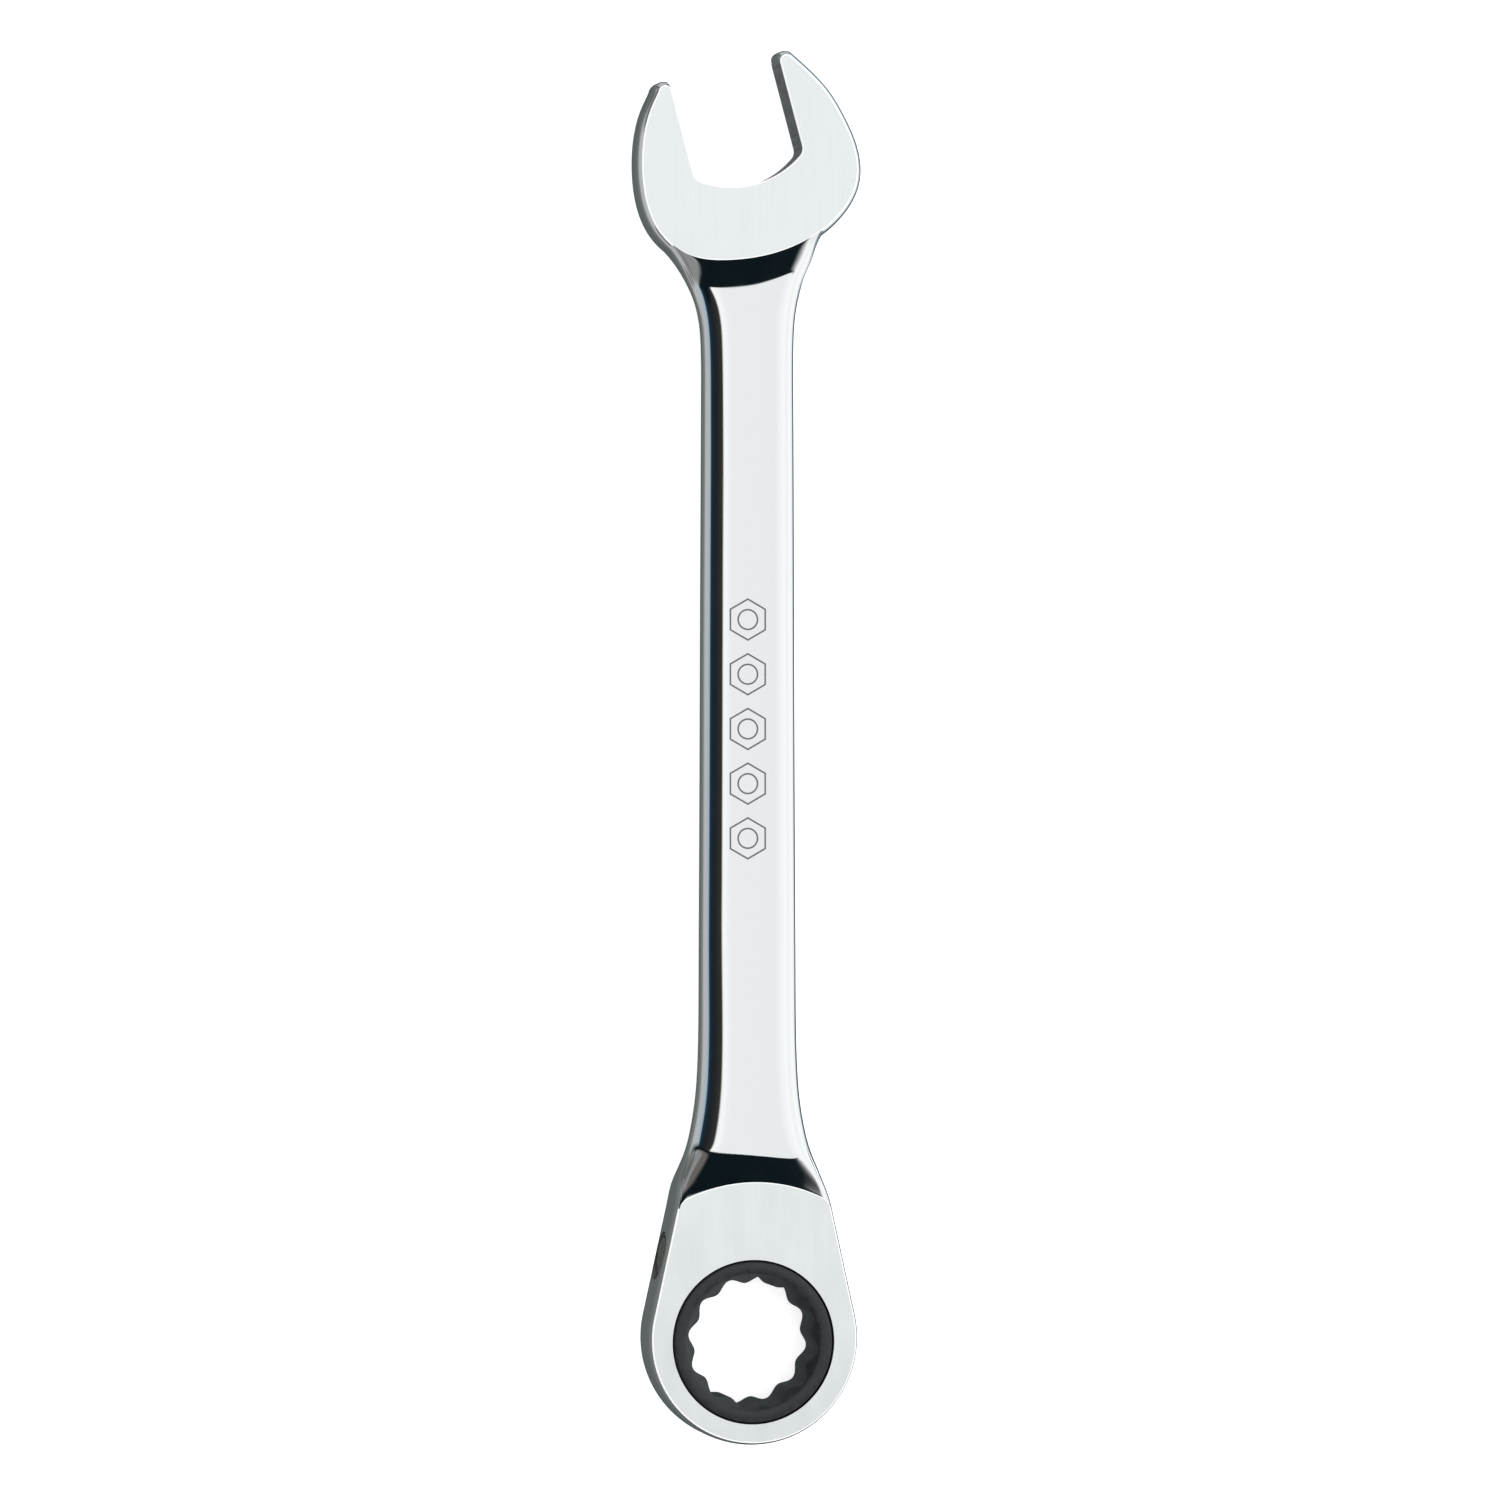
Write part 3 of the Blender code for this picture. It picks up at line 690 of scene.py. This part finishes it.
def cut_pawl_bore(body, dark):
    """Cut the pawl's bore from the head's left wall to the ring bore."""
    radius, rim = PAWL_BORE_RADIUS, PAWL_BORE_RIM
    profile = [
        (0.0, BORE_START), (radius + 0.45, BORE_START), (radius + 0.2, rim),
        (radius, rim + 0.3), (radius, BORE_END), (0.0, BORE_END),
    ]
    cutter = turned_shape("pawl_bore_cutter", profile, 96, [dark])
    cut = body.modifiers.new("pawl_bore", "BOOLEAN")
    cut.operation = "DIFFERENCE"
    cut.solver = "EXACT"
    cut.object = cutter
    # The cut walls take the cutter's near-black material, painted shade inside the pawl bore.
    cut.material_mode = "TRANSFER"
    bpy.context.view_layer.update()
    shaped = bpy.data.meshes.new_from_object(
        body.evaluated_get(bpy.context.evaluated_depsgraph_get())
    )
    body.modifiers.clear()
    body.data = shaped
    bpy.data.objects.remove(cutter)


def socket_radius(angle):
    """Radius of the 12-point socket at one angle: rounded points between rounded lobes."""
    wave = (1 + np.cos(12 * (angle - SOCKET_POINT_ANGLE))) / 2
    return SOCKET_LOBE + (SOCKET_POINT - SOCKET_LOBE) * wave


def make_ring(black):
    """Build the ring gear with its teeth, shoulders, groove, mouths and 12-point socket."""
    pitch = 2 * math.pi / TOOTH_COUNT
    angles = []
    tooth = []
    for start in range(TOOTH_COUNT):
        for step in TOOTH_STEPS:
            angles.append(start * pitch + math.radians(step))
            fall = max(step - TOOTH_FLAT_END, 0.0) / (360 / TOOTH_COUNT - TOOTH_FLAT_END)
            height = 0.0 if step == 0.0 else 1.0 - fall
            tooth.append(TOOTH_TIP - TOOTH_HEIGHT * (1 - height))
    angles = np.array(angles)
    tooth = np.array(tooth)
    socket = socket_radius(angles)
    ones = np.ones(len(angles))
    easy = JOURNAL_RADIUS - GEAR_CHAMFER
    mouth = GEAR_HALF - MOUTH_SLOPE * (SOCKET_MOUTH - socket)
    lip = socket + SOCKET_EASE
    rows = [
        (ones * (SOCKET_MOUTH + SOCKET_EASE), ones * GEAR_HALF),
        (ones * (easy - 0.05), ones * GEAR_HALF),
        (ones * (easy + 0.05), ones * (GEAR_HALF - 0.03)),
        (ones * (JOURNAL_RADIUS - 0.03), ones * (GEAR_HALF - GEAR_CHAMFER + 0.05)),
        (ones * JOURNAL_RADIUS, ones * (GEAR_HALF - GEAR_CHAMFER - 0.06)),
        (ones * JOURNAL_RADIUS, ones * TOOTH_BAND),
        (tooth, ones * TOOTH_BAND),
        (tooth, -ones * TOOTH_BAND),
        (ones * JOURNAL_RADIUS, -ones * TOOTH_BAND),
        (ones * JOURNAL_RADIUS, ones * GROOVE_TOP),
        (ones * GROOVE_RADIUS, ones * GROOVE_TOP),
        (ones * GROOVE_RADIUS, ones * GROOVE_BOTTOM),
        (ones * JOURNAL_RADIUS, ones * GROOVE_BOTTOM),
        (ones * JOURNAL_RADIUS, -ones * (GEAR_HALF - GEAR_CHAMFER)),
        (ones * easy, -ones * GEAR_HALF),
        (ones * (SOCKET_MOUTH + SOCKET_EASE), -ones * GEAR_HALF),
        (ones * (SOCKET_MOUTH - 0.02), -ones * (GEAR_HALF - 0.05)),
        (lip, -(mouth + MOUTH_SLOPE * SOCKET_EASE)),
        (socket + 0.03, -(mouth - 0.01)),
        (socket, -(mouth - 0.1)),
        (socket, mouth - 0.1),
        (socket + 0.03, mouth - 0.01),
        (lip, mouth + MOUTH_SLOPE * SOCKET_EASE),
        (ones * (SOCKET_MOUTH - 0.02), ones * (GEAR_HALF - 0.05)),
        (ones * (SOCKET_MOUTH + SOCKET_EASE), ones * GEAR_HALF),
    ]
    points = [
        np.stack([radius * np.cos(angles), radius * np.sin(angles), z], axis=1)
        for radius, z in rows
    ]
    patches = Patches()
    patches.grid(np.array(points), closed=True)
    ring = patches.mesh("socket_ring_gear", [black], weld=0.0005)
    shade(ring, math.radians(34.0))
    return ring


def make_plug(steel, dark):
    """Turn the plug that closes the pawl bore: a domed disc with a rolled rim."""
    outer = PLUG_FRONT
    inner = PLUG_INNER
    peg_end = inner + PEG_LENGTH
    profile = [
        (0.0, peg_end), (PEG_RADIUS - 0.1, peg_end), (PEG_RADIUS, peg_end - 0.1),
        (PEG_RADIUS, inner), (PLUG_RADIUS, inner), (PLUG_RADIUS, outer + 0.35),
        (3.82, outer + 0.2), (3.6, outer + 0.12), (3.42, outer + 0.16), (3.32, outer + 0.34),
        (3.2, outer + 0.34), (3.1, outer + 0.16), (2.7, outer + 0.05), (1.8, outer + 0.01),
        (0.9, outer), (0.0, outer),
    ]
    # Slot 1 is near-black painted shade on the plug's side, its outer rim edge and the groove of
    # its rolled rim.
    slots = [0, 0, 0, 0, 1, 1, 0, 0, 1, 1, 1, 0, 0, 0, 0]
    plug = turned_shape("domed_bore_plug", profile, 96, [steel, dark], slots)
    shade(plug)
    return plug


def make_spring(steel, steps=28, sides=10):
    """Wind the pawl's spring, which sits between the plug and the sliding pawl."""
    place = bore_frame()
    shape = bmesh.new()
    loops = []
    count = COIL_TURNS * steps
    for step in range(count + 1):
        a = 2 * math.pi * step / steps
        outward = Vector((math.cos(a), math.sin(a), 0.0))
        along = COIL_START + (COIL_END - COIL_START) * step / count
        loop = []
        for side in range(sides):
            b = 2 * math.pi * side / sides
            spot = outward * (COIL_RADIUS + WIRE_RADIUS * math.cos(b))
            spot.z = along + WIRE_RADIUS * math.sin(b)
            loop.append(shape.verts.new(place @ (spot * MM)))
        loops.append(loop)
    for low, high in zip(loops, loops[1:]):
        for side in range(sides):
            after = (side + 1) % sides
            shape.faces.new((low[side], low[after], high[after], high[side]))
    shape.faces.new(loops[0][::-1])
    shape.faces.new(loops[-1])
    bmesh.ops.recalc_face_normals(shape, faces=shape.faces)
    mesh = bpy.data.meshes.new("coiled_pawl_spring")
    shape.to_mesh(mesh)
    shape.free()
    mesh.materials.append(steel)
    spring = add_object("coiled_pawl_spring", mesh)
    shade(spring)
    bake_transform(spring)
    return spring


def face_height(ribs, x, y):
    """Height of the shank's face above mid-thickness at one place."""
    row = int(np.argmin(np.abs(ribs[:, ribs.shape[1] // 2, 1] - y)))
    rib = ribs[row]
    wall = WALL_STEPS + len(EDGE_EASE)
    return float(np.interp(x, rib[wall:-wall, 0], rib[wall:-wall, 2]))


def make_marks(ribs, groove_shade):
    """Lay the row of etched hexagons, each with a round hole, on the shank's face, as grey bands
    that carry the painted shade of engraved grooves.
    """
    mesh = bpy.data.meshes.new("etched_hexagons")
    shape = bmesh.new()

    def band(centre, outer, inner):
        """Raise one closed line between two outlines."""
        count = len(outer)
        loops = []
        for plan, lift in ((outer, MARK_PROUD), (inner, MARK_PROUD), (inner, -MARK_SINK),
                           (outer, -MARK_SINK)):
            loop = []
            for px, py in plan:
                x, y = centre[0] + px, centre[1] + py
                z = face_height(ribs, x, y) + lift
                loop.append(shape.verts.new(np.array((x, y, z)) * MM + RING_AXIS))
            loops.append(loop)
        for a, b in zip(loops, loops[1:] + loops[:1]):
            for i in range(count):
                j = (i + 1) % count
                shape.faces.new((a[i], a[j], b[j], b[i]))

    def hexagon(radius, per_side=6):
        corners = [
            np.array((math.cos(a), math.sin(a))) * radius
            for a in np.radians(np.arange(0, 361, 60) + 30)
        ]
        points = []
        for a, b in zip(corners, corners[1:]):
            points += [a + (b - a) * k / per_side for k in range(per_side)]
        return points

    def circle(radius):
        return [
            np.array((math.cos(a), math.sin(a))) * radius
            for a in np.radians(np.arange(0, 360, 10))
        ]

    for index in range(MARK_COUNT):
        centre = (MARK_CENTRE_X, MARK_FIRST_Y + MARK_PITCH * index)
        band(centre, hexagon(MARK_RADIUS), hexagon(MARK_RADIUS - MARK_LINE * 1.15))
        band(centre, circle(MARK_HOLE), circle(MARK_HOLE - MARK_LINE))
    bmesh.ops.recalc_face_normals(shape, faces=shape.faces)
    shape.to_mesh(mesh)
    shape.free()
    mesh.materials.append(groove_shade)
    return add_object("etched_hexagons", mesh)


class Finish:
    """A node material with one Principled shader and helpers for its procedural detail."""

    def __init__(self, name, colour, metallic, roughness):
        self.material = bpy.data.materials.new(name)
        self.material.use_nodes = True
        self.nodes = self.material.node_tree.nodes
        self.links = self.material.node_tree.links
        self.shader = next(n for n in self.nodes if n.type == "BSDF_PRINCIPLED")
        self.shader.inputs["Base Color"].default_value = (*colour, 1.0)
        self.shader.inputs["Metallic"].default_value = metallic
        self.shader.inputs["Roughness"].default_value = roughness
        self.place = self.nodes.new("ShaderNodeTexCoord")
        self.last_bump = None

    def noise(self, scale, stretch=(1.0, 1.0, 1.0), detail=3.0, roughness=0.5):
        """Noise in object space; stretch divides the scale along each axis."""
        mapping = self.nodes.new("ShaderNodeMapping")
        mapping.inputs["Scale"].default_value = [1.0 / s for s in stretch]
        self.links.new(self.place.outputs["Object"], mapping.inputs["Vector"])
        noise = self.nodes.new("ShaderNodeTexNoise")
        noise.inputs["Scale"].default_value = scale
        noise.inputs["Detail"].default_value = detail
        noise.inputs["Roughness"].default_value = roughness
        self.links.new(mapping.outputs["Vector"], noise.inputs["Vector"])
        return noise.outputs["Fac"]

    def spread(self, source, low, high):
        """Map the range that noise mostly keeps to onto another."""
        node = self.nodes.new("ShaderNodeMapRange")
        node.inputs["From Min"].default_value = 0.3
        node.inputs["From Max"].default_value = 0.7
        node.inputs["To Min"].default_value = low
        node.inputs["To Max"].default_value = high
        self.links.new(source, node.inputs["Value"])
        return node.outputs["Result"]

    def roughness(self, source):
        """Drive the roughness by a value."""
        self.links.new(source, self.shader.inputs["Roughness"])

    def colour(self, source, low, high):
        """Mix two colours by a value from 0 to 1."""
        node = self.nodes.new("ShaderNodeMix")
        node.data_type = "RGBA"
        node.inputs["A"].default_value = (*low, 1.0)
        node.inputs["B"].default_value = (*high, 1.0)
        self.links.new(source, node.inputs["Factor"])
        self.links.new(node.outputs["Result"], self.shader.inputs["Base Color"])

    def bump(self, source, strength, distance):
        """Add a bump on top of any bump already there."""
        node = self.nodes.new("ShaderNodeBump")
        node.inputs["Strength"].default_value = strength
        node.inputs["Distance"].default_value = distance
        self.links.new(source, node.inputs["Height"])
        if self.last_bump is not None:
            self.links.new(self.last_bump, node.inputs["Normal"])
        self.last_bump = node.outputs["Normal"]
        self.links.new(self.last_bump, self.shader.inputs["Normal"])


def chrome_finish():
    """Polished chrome plate over a buffed forging."""
    finish = Finish("polished_chrome", (0.865, 0.88, 0.885), 1.0, 0.05)
    smear = finish.noise(240.0, (1.0, 3.0, 1.0), 4.0)
    finish.roughness(finish.spread(smear, 0.025, 0.075))
    finish.bump(finish.noise(120.0, (1.0, 4.0, 1.0), 1.0), 0.05, 0.0002)
    finish.bump(finish.noise(2600.0, (1.0, 14.0, 1.0), 2.0), 0.03, 0.00002)
    return finish.material


def ground_finish():
    """Satin chrome over a face ground lengthways."""
    finish = Finish("ground_satin_chrome", (0.88, 0.91, 0.915), 1.0, 0.16)
    grain = finish.noise(5200.0, (1.0, 60.0, 1.0), 4.0, 0.6)
    cloud = finish.noise(260.0, (1.0, 3.0, 1.0))
    finish.roughness(finish.spread(cloud, 0.14, 0.18))
    finish.colour(finish.spread(grain, 0.0, 1.0), (0.865, 0.893, 0.9), (0.9, 0.922, 0.927))
    finish.bump(grain, 0.03, 0.00001)
    return finish.material


def milled_finish():
    """Machined jaw faces with fine cutter lines through the thickness."""
    finish = Finish("milled_jaw_steel", (0.52, 0.53, 0.535), 1.0, 0.38)
    lines = finish.noise(3600.0, (1.0, 1.0, 30.0), 3.0, 0.6)
    finish.roughness(finish.spread(lines, 0.3, 0.5))
    finish.colour(finish.spread(lines, 0.0, 1.0), (0.4, 0.41, 0.42), (0.6, 0.61, 0.615))
    finish.bump(lines, 0.25, 0.00004)
    return finish.material


def painted_highlight_finish():
    """A painted highlight: a near-white, non-metal line where a ground face meets the plated side,
    in place of the light a rounded edge catches.
    """
    finish = Finish("painted_highlight_edge", (0.97, 0.975, 0.98), 0.0, 0.4)
    highlight_mottle = finish.noise(1500.0)
    finish.roughness(finish.spread(highlight_mottle, 0.38, 0.55))
    finish.colour(finish.spread(highlight_mottle, 0.0, 1.0), (0.95, 0.955, 0.96), (1.0, 1.0, 1.0))
    return finish.material


def black_finish():
    """Black oxide on the hardened ring, slightly worn and oily."""
    finish = Finish("black_oxide_steel", (0.05, 0.054, 0.055), 0.75, 0.36)
    cloud = finish.noise(900.0, detail=4.0, roughness=0.6)
    fine = finish.noise(7000.0, detail=2.0)
    finish.roughness(finish.spread(cloud, 0.3, 0.46))
    finish.colour(finish.spread(cloud, 0.0, 1.0), (0.044, 0.05, 0.052), (0.062, 0.068, 0.07))
    finish.bump(fine, 0.12, 0.00003)
    return finish.material


def steel_finish(name, dark, light, roughness):
    """Plain machined steel, mottled between two tones."""
    finish = Finish(name, light, 1.0, roughness)
    grain = finish.noise(1400.0, detail=4.0, roughness=0.6)
    finish.roughness(finish.spread(grain, roughness - 0.08, roughness + 0.12))
    finish.colour(finish.spread(grain, 0.0, 1.0), dark, light)
    finish.bump(grain, 0.15, 0.00003)
    return finish.material


def groove_shade_finish():
    """Painted shade and dark reflection of an engraved groove: a matt dark grey for the hexagon
    lines.
    """
    finish = Finish("painted_groove_shade", (0.2, 0.2, 0.2), 0.6, 0.55)
    grain = finish.noise(9000.0, detail=2.0)
    finish.roughness(finish.spread(grain, 0.45, 0.65))
    finish.colour(finish.spread(grain, 0.0, 1.0), (0.15, 0.15, 0.152), (0.26, 0.262, 0.265))
    return finish.material


def set_world():
    """Light the room: bright overhead and to the right, dark to the left.

    The camera and diffuse light see a plain pale room. Mirror reflections see the studio's
    light and dark sides: tones that follow WORLD_STOPS round the wrench's length, a dark card
    beyond each end of the wrench, and past those the plain panels of the room.
    """
    world = bpy.data.worlds.new("studio")
    bpy.context.scene.world = world
    world.use_nodes = True
    nodes = world.node_tree.nodes
    links = world.node_tree.links
    nodes.clear()

    def math_node(operation, first, second=None):
        """Combine one or two values, each a number or a socket."""
        node = nodes.new("ShaderNodeMath")
        node.operation = operation
        for slot, value in enumerate((first, second)):
            if value is None:
                continue
            if isinstance(value, (int, float)):
                node.inputs[slot].default_value = value
            else:
                links.new(value, node.inputs[slot])
        return node.outputs[0]

    def ease(value, start, end, low=0.0, high=1.0):
        """Ease from low to high as the value goes from start to end."""
        node = nodes.new("ShaderNodeMapRange")
        node.interpolation_type = "SMOOTHSTEP"
        links.new(value, node.inputs["Value"])
        for name, number in (
            ("From Min", start), ("From Max", end), ("To Min", low), ("To Max", high),
        ):
            node.inputs[name].default_value = number
        return node.outputs["Result"]

    def blend(first, second, share):
        """Mix a colour with another one, or with a plain tone, by a share from 0 to 1."""
        node = nodes.new("ShaderNodeMix")
        node.data_type = "RGBA"
        links.new(share, node.inputs["Factor"])
        links.new(first, node.inputs["A"])
        if isinstance(second, tuple):
            node.inputs["B"].default_value = (*second, 1.0)
        else:
            links.new(second, node.inputs["B"])
        return node.outputs["Result"]

    def times(first, second):
        return math_node("MULTIPLY", first, second)

    def either(first, second):
        return math_node("MAXIMUM", first, second)

    def absolute(value):
        return math_node("ABSOLUTE", value)

    def sine(degrees):
        return math.sin(math.radians(degrees))

    place = nodes.new("ShaderNodeTexCoord")
    split = nodes.new("ShaderNodeSeparateXYZ")
    links.new(place.outputs["Generated"], split.inputs[0])
    x, y, z = (split.outputs[axis] for axis in "XYZ")
    toward_head = times(y, -1.0)
    above = ease(z, -0.25, 0.1)
    low = math_node("SUBTRACT", 1.0, above)

    # Tones round the wrench's length.
    turn = math_node("ARCTAN2", times(x, -1.0), z)
    across = nodes.new("ShaderNodeValToRGB")
    links.new(math_node("ADD", math_node("DIVIDE", turn, 2 * math.pi), 0.5), across.inputs["Fac"])
    ramp = across.color_ramp
    ramp.elements[0].position = 0.0
    ramp.elements[0].color = (*WORLD_STOPS[0][1:], 1.0)
    ramp.elements[1].position = 1.0
    ramp.elements[1].color = (*WORLD_STOPS[-1][1:], 1.0)
    for degrees, *tone in WORLD_STOPS[1:-1]:
        element = ramp.elements.new(degrees / 360 + 0.5)
        element.color = (*tone, 1.0)

    # The dark cards beyond both ends, and more light from low down beyond the open head.
    early = math_node("ADD", y, ease(x, 0.25, 0.45, 0.0, 0.13))
    dark_far = times(ease(early, sine(14.0), sine(22.0)), ease(x, 0.48, 0.38))
    dark_near = times(ease(toward_head, sine(6.0), sine(10.5)), ease(absolute(x), 0.65, 0.5))
    dark = times(either(dark_far, dark_near), above)
    forward = times(low, ease(y, 0.25, 0.6))
    lift = math_node("ADD", 1.0, times(forward, ease(x, -0.6, -0.4, -0.6, 1.2)))
    tone = nodes.new("ShaderNodeVectorMath")
    tone.operation = "SCALE"
    links.new(across.outputs["Color"], tone.inputs[0])
    links.new(times(math_node("SUBTRACT", 1.0, dark), lift), tone.inputs["Scale"])
    lifted = nodes.new("ShaderNodeVectorMath")
    lifted.operation = "ADD"
    lifted.inputs[1].default_value = DARKEST
    links.new(tone.outputs["Vector"], lifted.inputs[0])

    # A warm tone high beyond the open head, and a grey one low beyond both ends.
    warm = times(times(ease(y, sine(26.0), sine(31.0)), ease(x, 0.0, -0.1)), above)
    seen = blend(lifted.outputs["Vector"], WARM_TONE, warm)
    ends = times(low, ease(absolute(y), 0.68, 0.85))
    seen = blend(seen, END_TONE, ends)

    # The room's panels past the cards.
    panels = math_node("SINE", times(math_node("ARCTAN2", x, y), 3.0))
    rim = ease(absolute(z), 0.02, 0.16, 0.25, 1.0)
    room = times(ease(panels, -0.7, 0.5, 0.28, 0.95), rim)
    far_end = ease(y, sine(44.0), sine(49.0))
    near_end = ease(toward_head, sine(29.0), sine(35.0))
    corner = either(ease(x, -0.24, -0.36), ease(x, 0.72, 0.85))
    corner = times(corner, ease(absolute(y), 0.5, 0.6))
    beyond = either(either(far_end, near_end), corner)
    seen = blend(seen, room, times(beyond, ease(z, -0.15, 0.05)))

    mirrored = nodes.new("ShaderNodeBackground")
    links.new(seen, mirrored.inputs["Color"])
    plain_room = nodes.new("ShaderNodeBackground")
    plain_room.inputs["Color"].default_value = (1.0, 1.0, 1.0, 1.0)
    plain_room.inputs["Strength"].default_value = PLAIN_LIGHT
    path = nodes.new("ShaderNodeLightPath")
    mix = nodes.new("ShaderNodeMixShader")
    links.new(path.outputs["Is Glossy Ray"], mix.inputs["Fac"])
    links.new(plain_room.outputs[0], mix.inputs[1])
    links.new(mirrored.outputs[0], mix.inputs[2])
    out = nodes.new("ShaderNodeOutputWorld")
    links.new(mix.outputs[0], out.inputs["Surface"])


def add_light(name, place, size, energy, target):
    """Add one soft area light that stays out of mirror reflections."""
    data = bpy.data.lights.new(name, "AREA")
    data.shape = "DISK"
    data.size = size
    data.energy = energy
    light = add_object(name, data)
    light.location = place
    light.rotation_euler = (Vector(target) - Vector(place)).to_track_quat("-Z", "Y").to_euler()
    light.visible_glossy = False


def add_floor():
    """Lay the plain pale floor."""
    bpy.ops.mesh.primitive_plane_add(size=6.0, location=(0.0, 0.0, 0.0))
    floor = bpy.context.object
    floor.name = "studio_floor"
    paper = bpy.data.materials.new("pale_floor")
    paper.use_nodes = True
    shader = next(n for n in paper.node_tree.nodes if n.type == "BSDF_PRINCIPLED")
    shader.inputs["Base Color"].default_value = (0.9, 0.9, 0.9, 1.0)
    shader.inputs["Roughness"].default_value = 0.9
    shader.inputs["Specular IOR Level"].default_value = 0.0
    shader.inputs["Emission Color"].default_value = (1.0, 1.0, 1.0, 1.0)
    shader.inputs["Emission Strength"].default_value = FLOOR_GLOW
    floor.data.materials.append(paper)
    floor.visible_glossy = False


def add_camera():
    """Look straight down the wrench's face from slightly to its left."""
    data = bpy.data.cameras.new("camera")
    data.lens = CAMERA_LENS
    data.sensor_width = 36.0
    data.clip_start = 0.01
    data.clip_end = 20.0
    camera = add_object("camera", data)
    away = Vector((-math.sin(CAMERA_YAW), 0.0, math.cos(CAMERA_YAW)))
    right = Vector((math.cos(CAMERA_YAW), 0.0, math.sin(CAMERA_YAW)))
    up = Vector((0.0, 1.0, 0.0))
    target = Vector([value * MM for value in CAMERA_TARGET])
    turn = Matrix((right, up, away)).transposed().to_4x4()
    camera.matrix_world = Matrix.Translation(target + CAMERA_DISTANCE * away) @ turn
    bpy.context.scene.camera = camera


def main():
    """Build every piece with its finish, then the studio round them."""
    bpy.context.scene.view_settings.view_transform = "Standard"
    chrome = chrome_finish()
    ground = ground_finish()
    milled = milled_finish()
    # The bore material is near-black: painted shade inside the ring bore and the pawl bore.
    bore = steel_finish("painted_bore_shade", (0.1, 0.1, 0.1), (0.22, 0.22, 0.22), 0.4)
    black = black_finish()
    groove_shade = groove_shade_finish()
    plug_steel = steel_finish("plug_steel", (0.2, 0.18, 0.16), (0.55, 0.5, 0.45), 0.3)
    # Near-black painted shade for the plug's rim groove and side.
    plug_shade_steel = steel_finish("plug_painted_shade", (0.03, 0.03, 0.03), (0.09, 0.09, 0.09), 0.5)

    # The last finish in this list is the painted highlight on the body's eased edges.
    body, ribs = make_body([chrome, ground, milled, bore, painted_highlight_finish()])
    cut_pawl_bore(body, bore)
    shade(body)
    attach(body, "wrench")
    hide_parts("wrench_body")

    marks = make_marks(ribs, groove_shade)
    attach(marks, "wrench")

    ring = make_ring(black)
    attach(ring, "socket_ring")
    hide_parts("ring_gear")

    plug = make_plug(plug_steel, plug_shade_steel)
    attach(plug, "wrench")
    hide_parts("pawl_bore_plug")

    spring_steel = steel_finish("spring_steel", (0.3, 0.3, 0.29), (0.5, 0.5, 0.48), 0.25)
    spring = make_spring(spring_steel)
    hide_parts("pawl_spring")

    finishes = {
        "pawl": steel_finish("pawl_steel", (0.16, 0.16, 0.17), (0.34, 0.34, 0.35), 0.32),
        "retaining_ring": steel_finish("retainer_steel", (0.2, 0.2, 0.21), (0.4, 0.4, 0.41), 0.35),
    }
    for node, finish in finishes.items():
        for slot in frame["nodes"][node].material_slots:
            slot.material = finish

    set_world()
    add_floor()
    add_light("overhead", (0.1, 0.0, 1.4), 1.2, 6.0, (0.0, 0.0, 0.0))
    add_light("right_side", (0.9, 0.2, 0.8), 0.8, 3.0, (0.0, 0.0, 0.0))
    add_camera()


main()
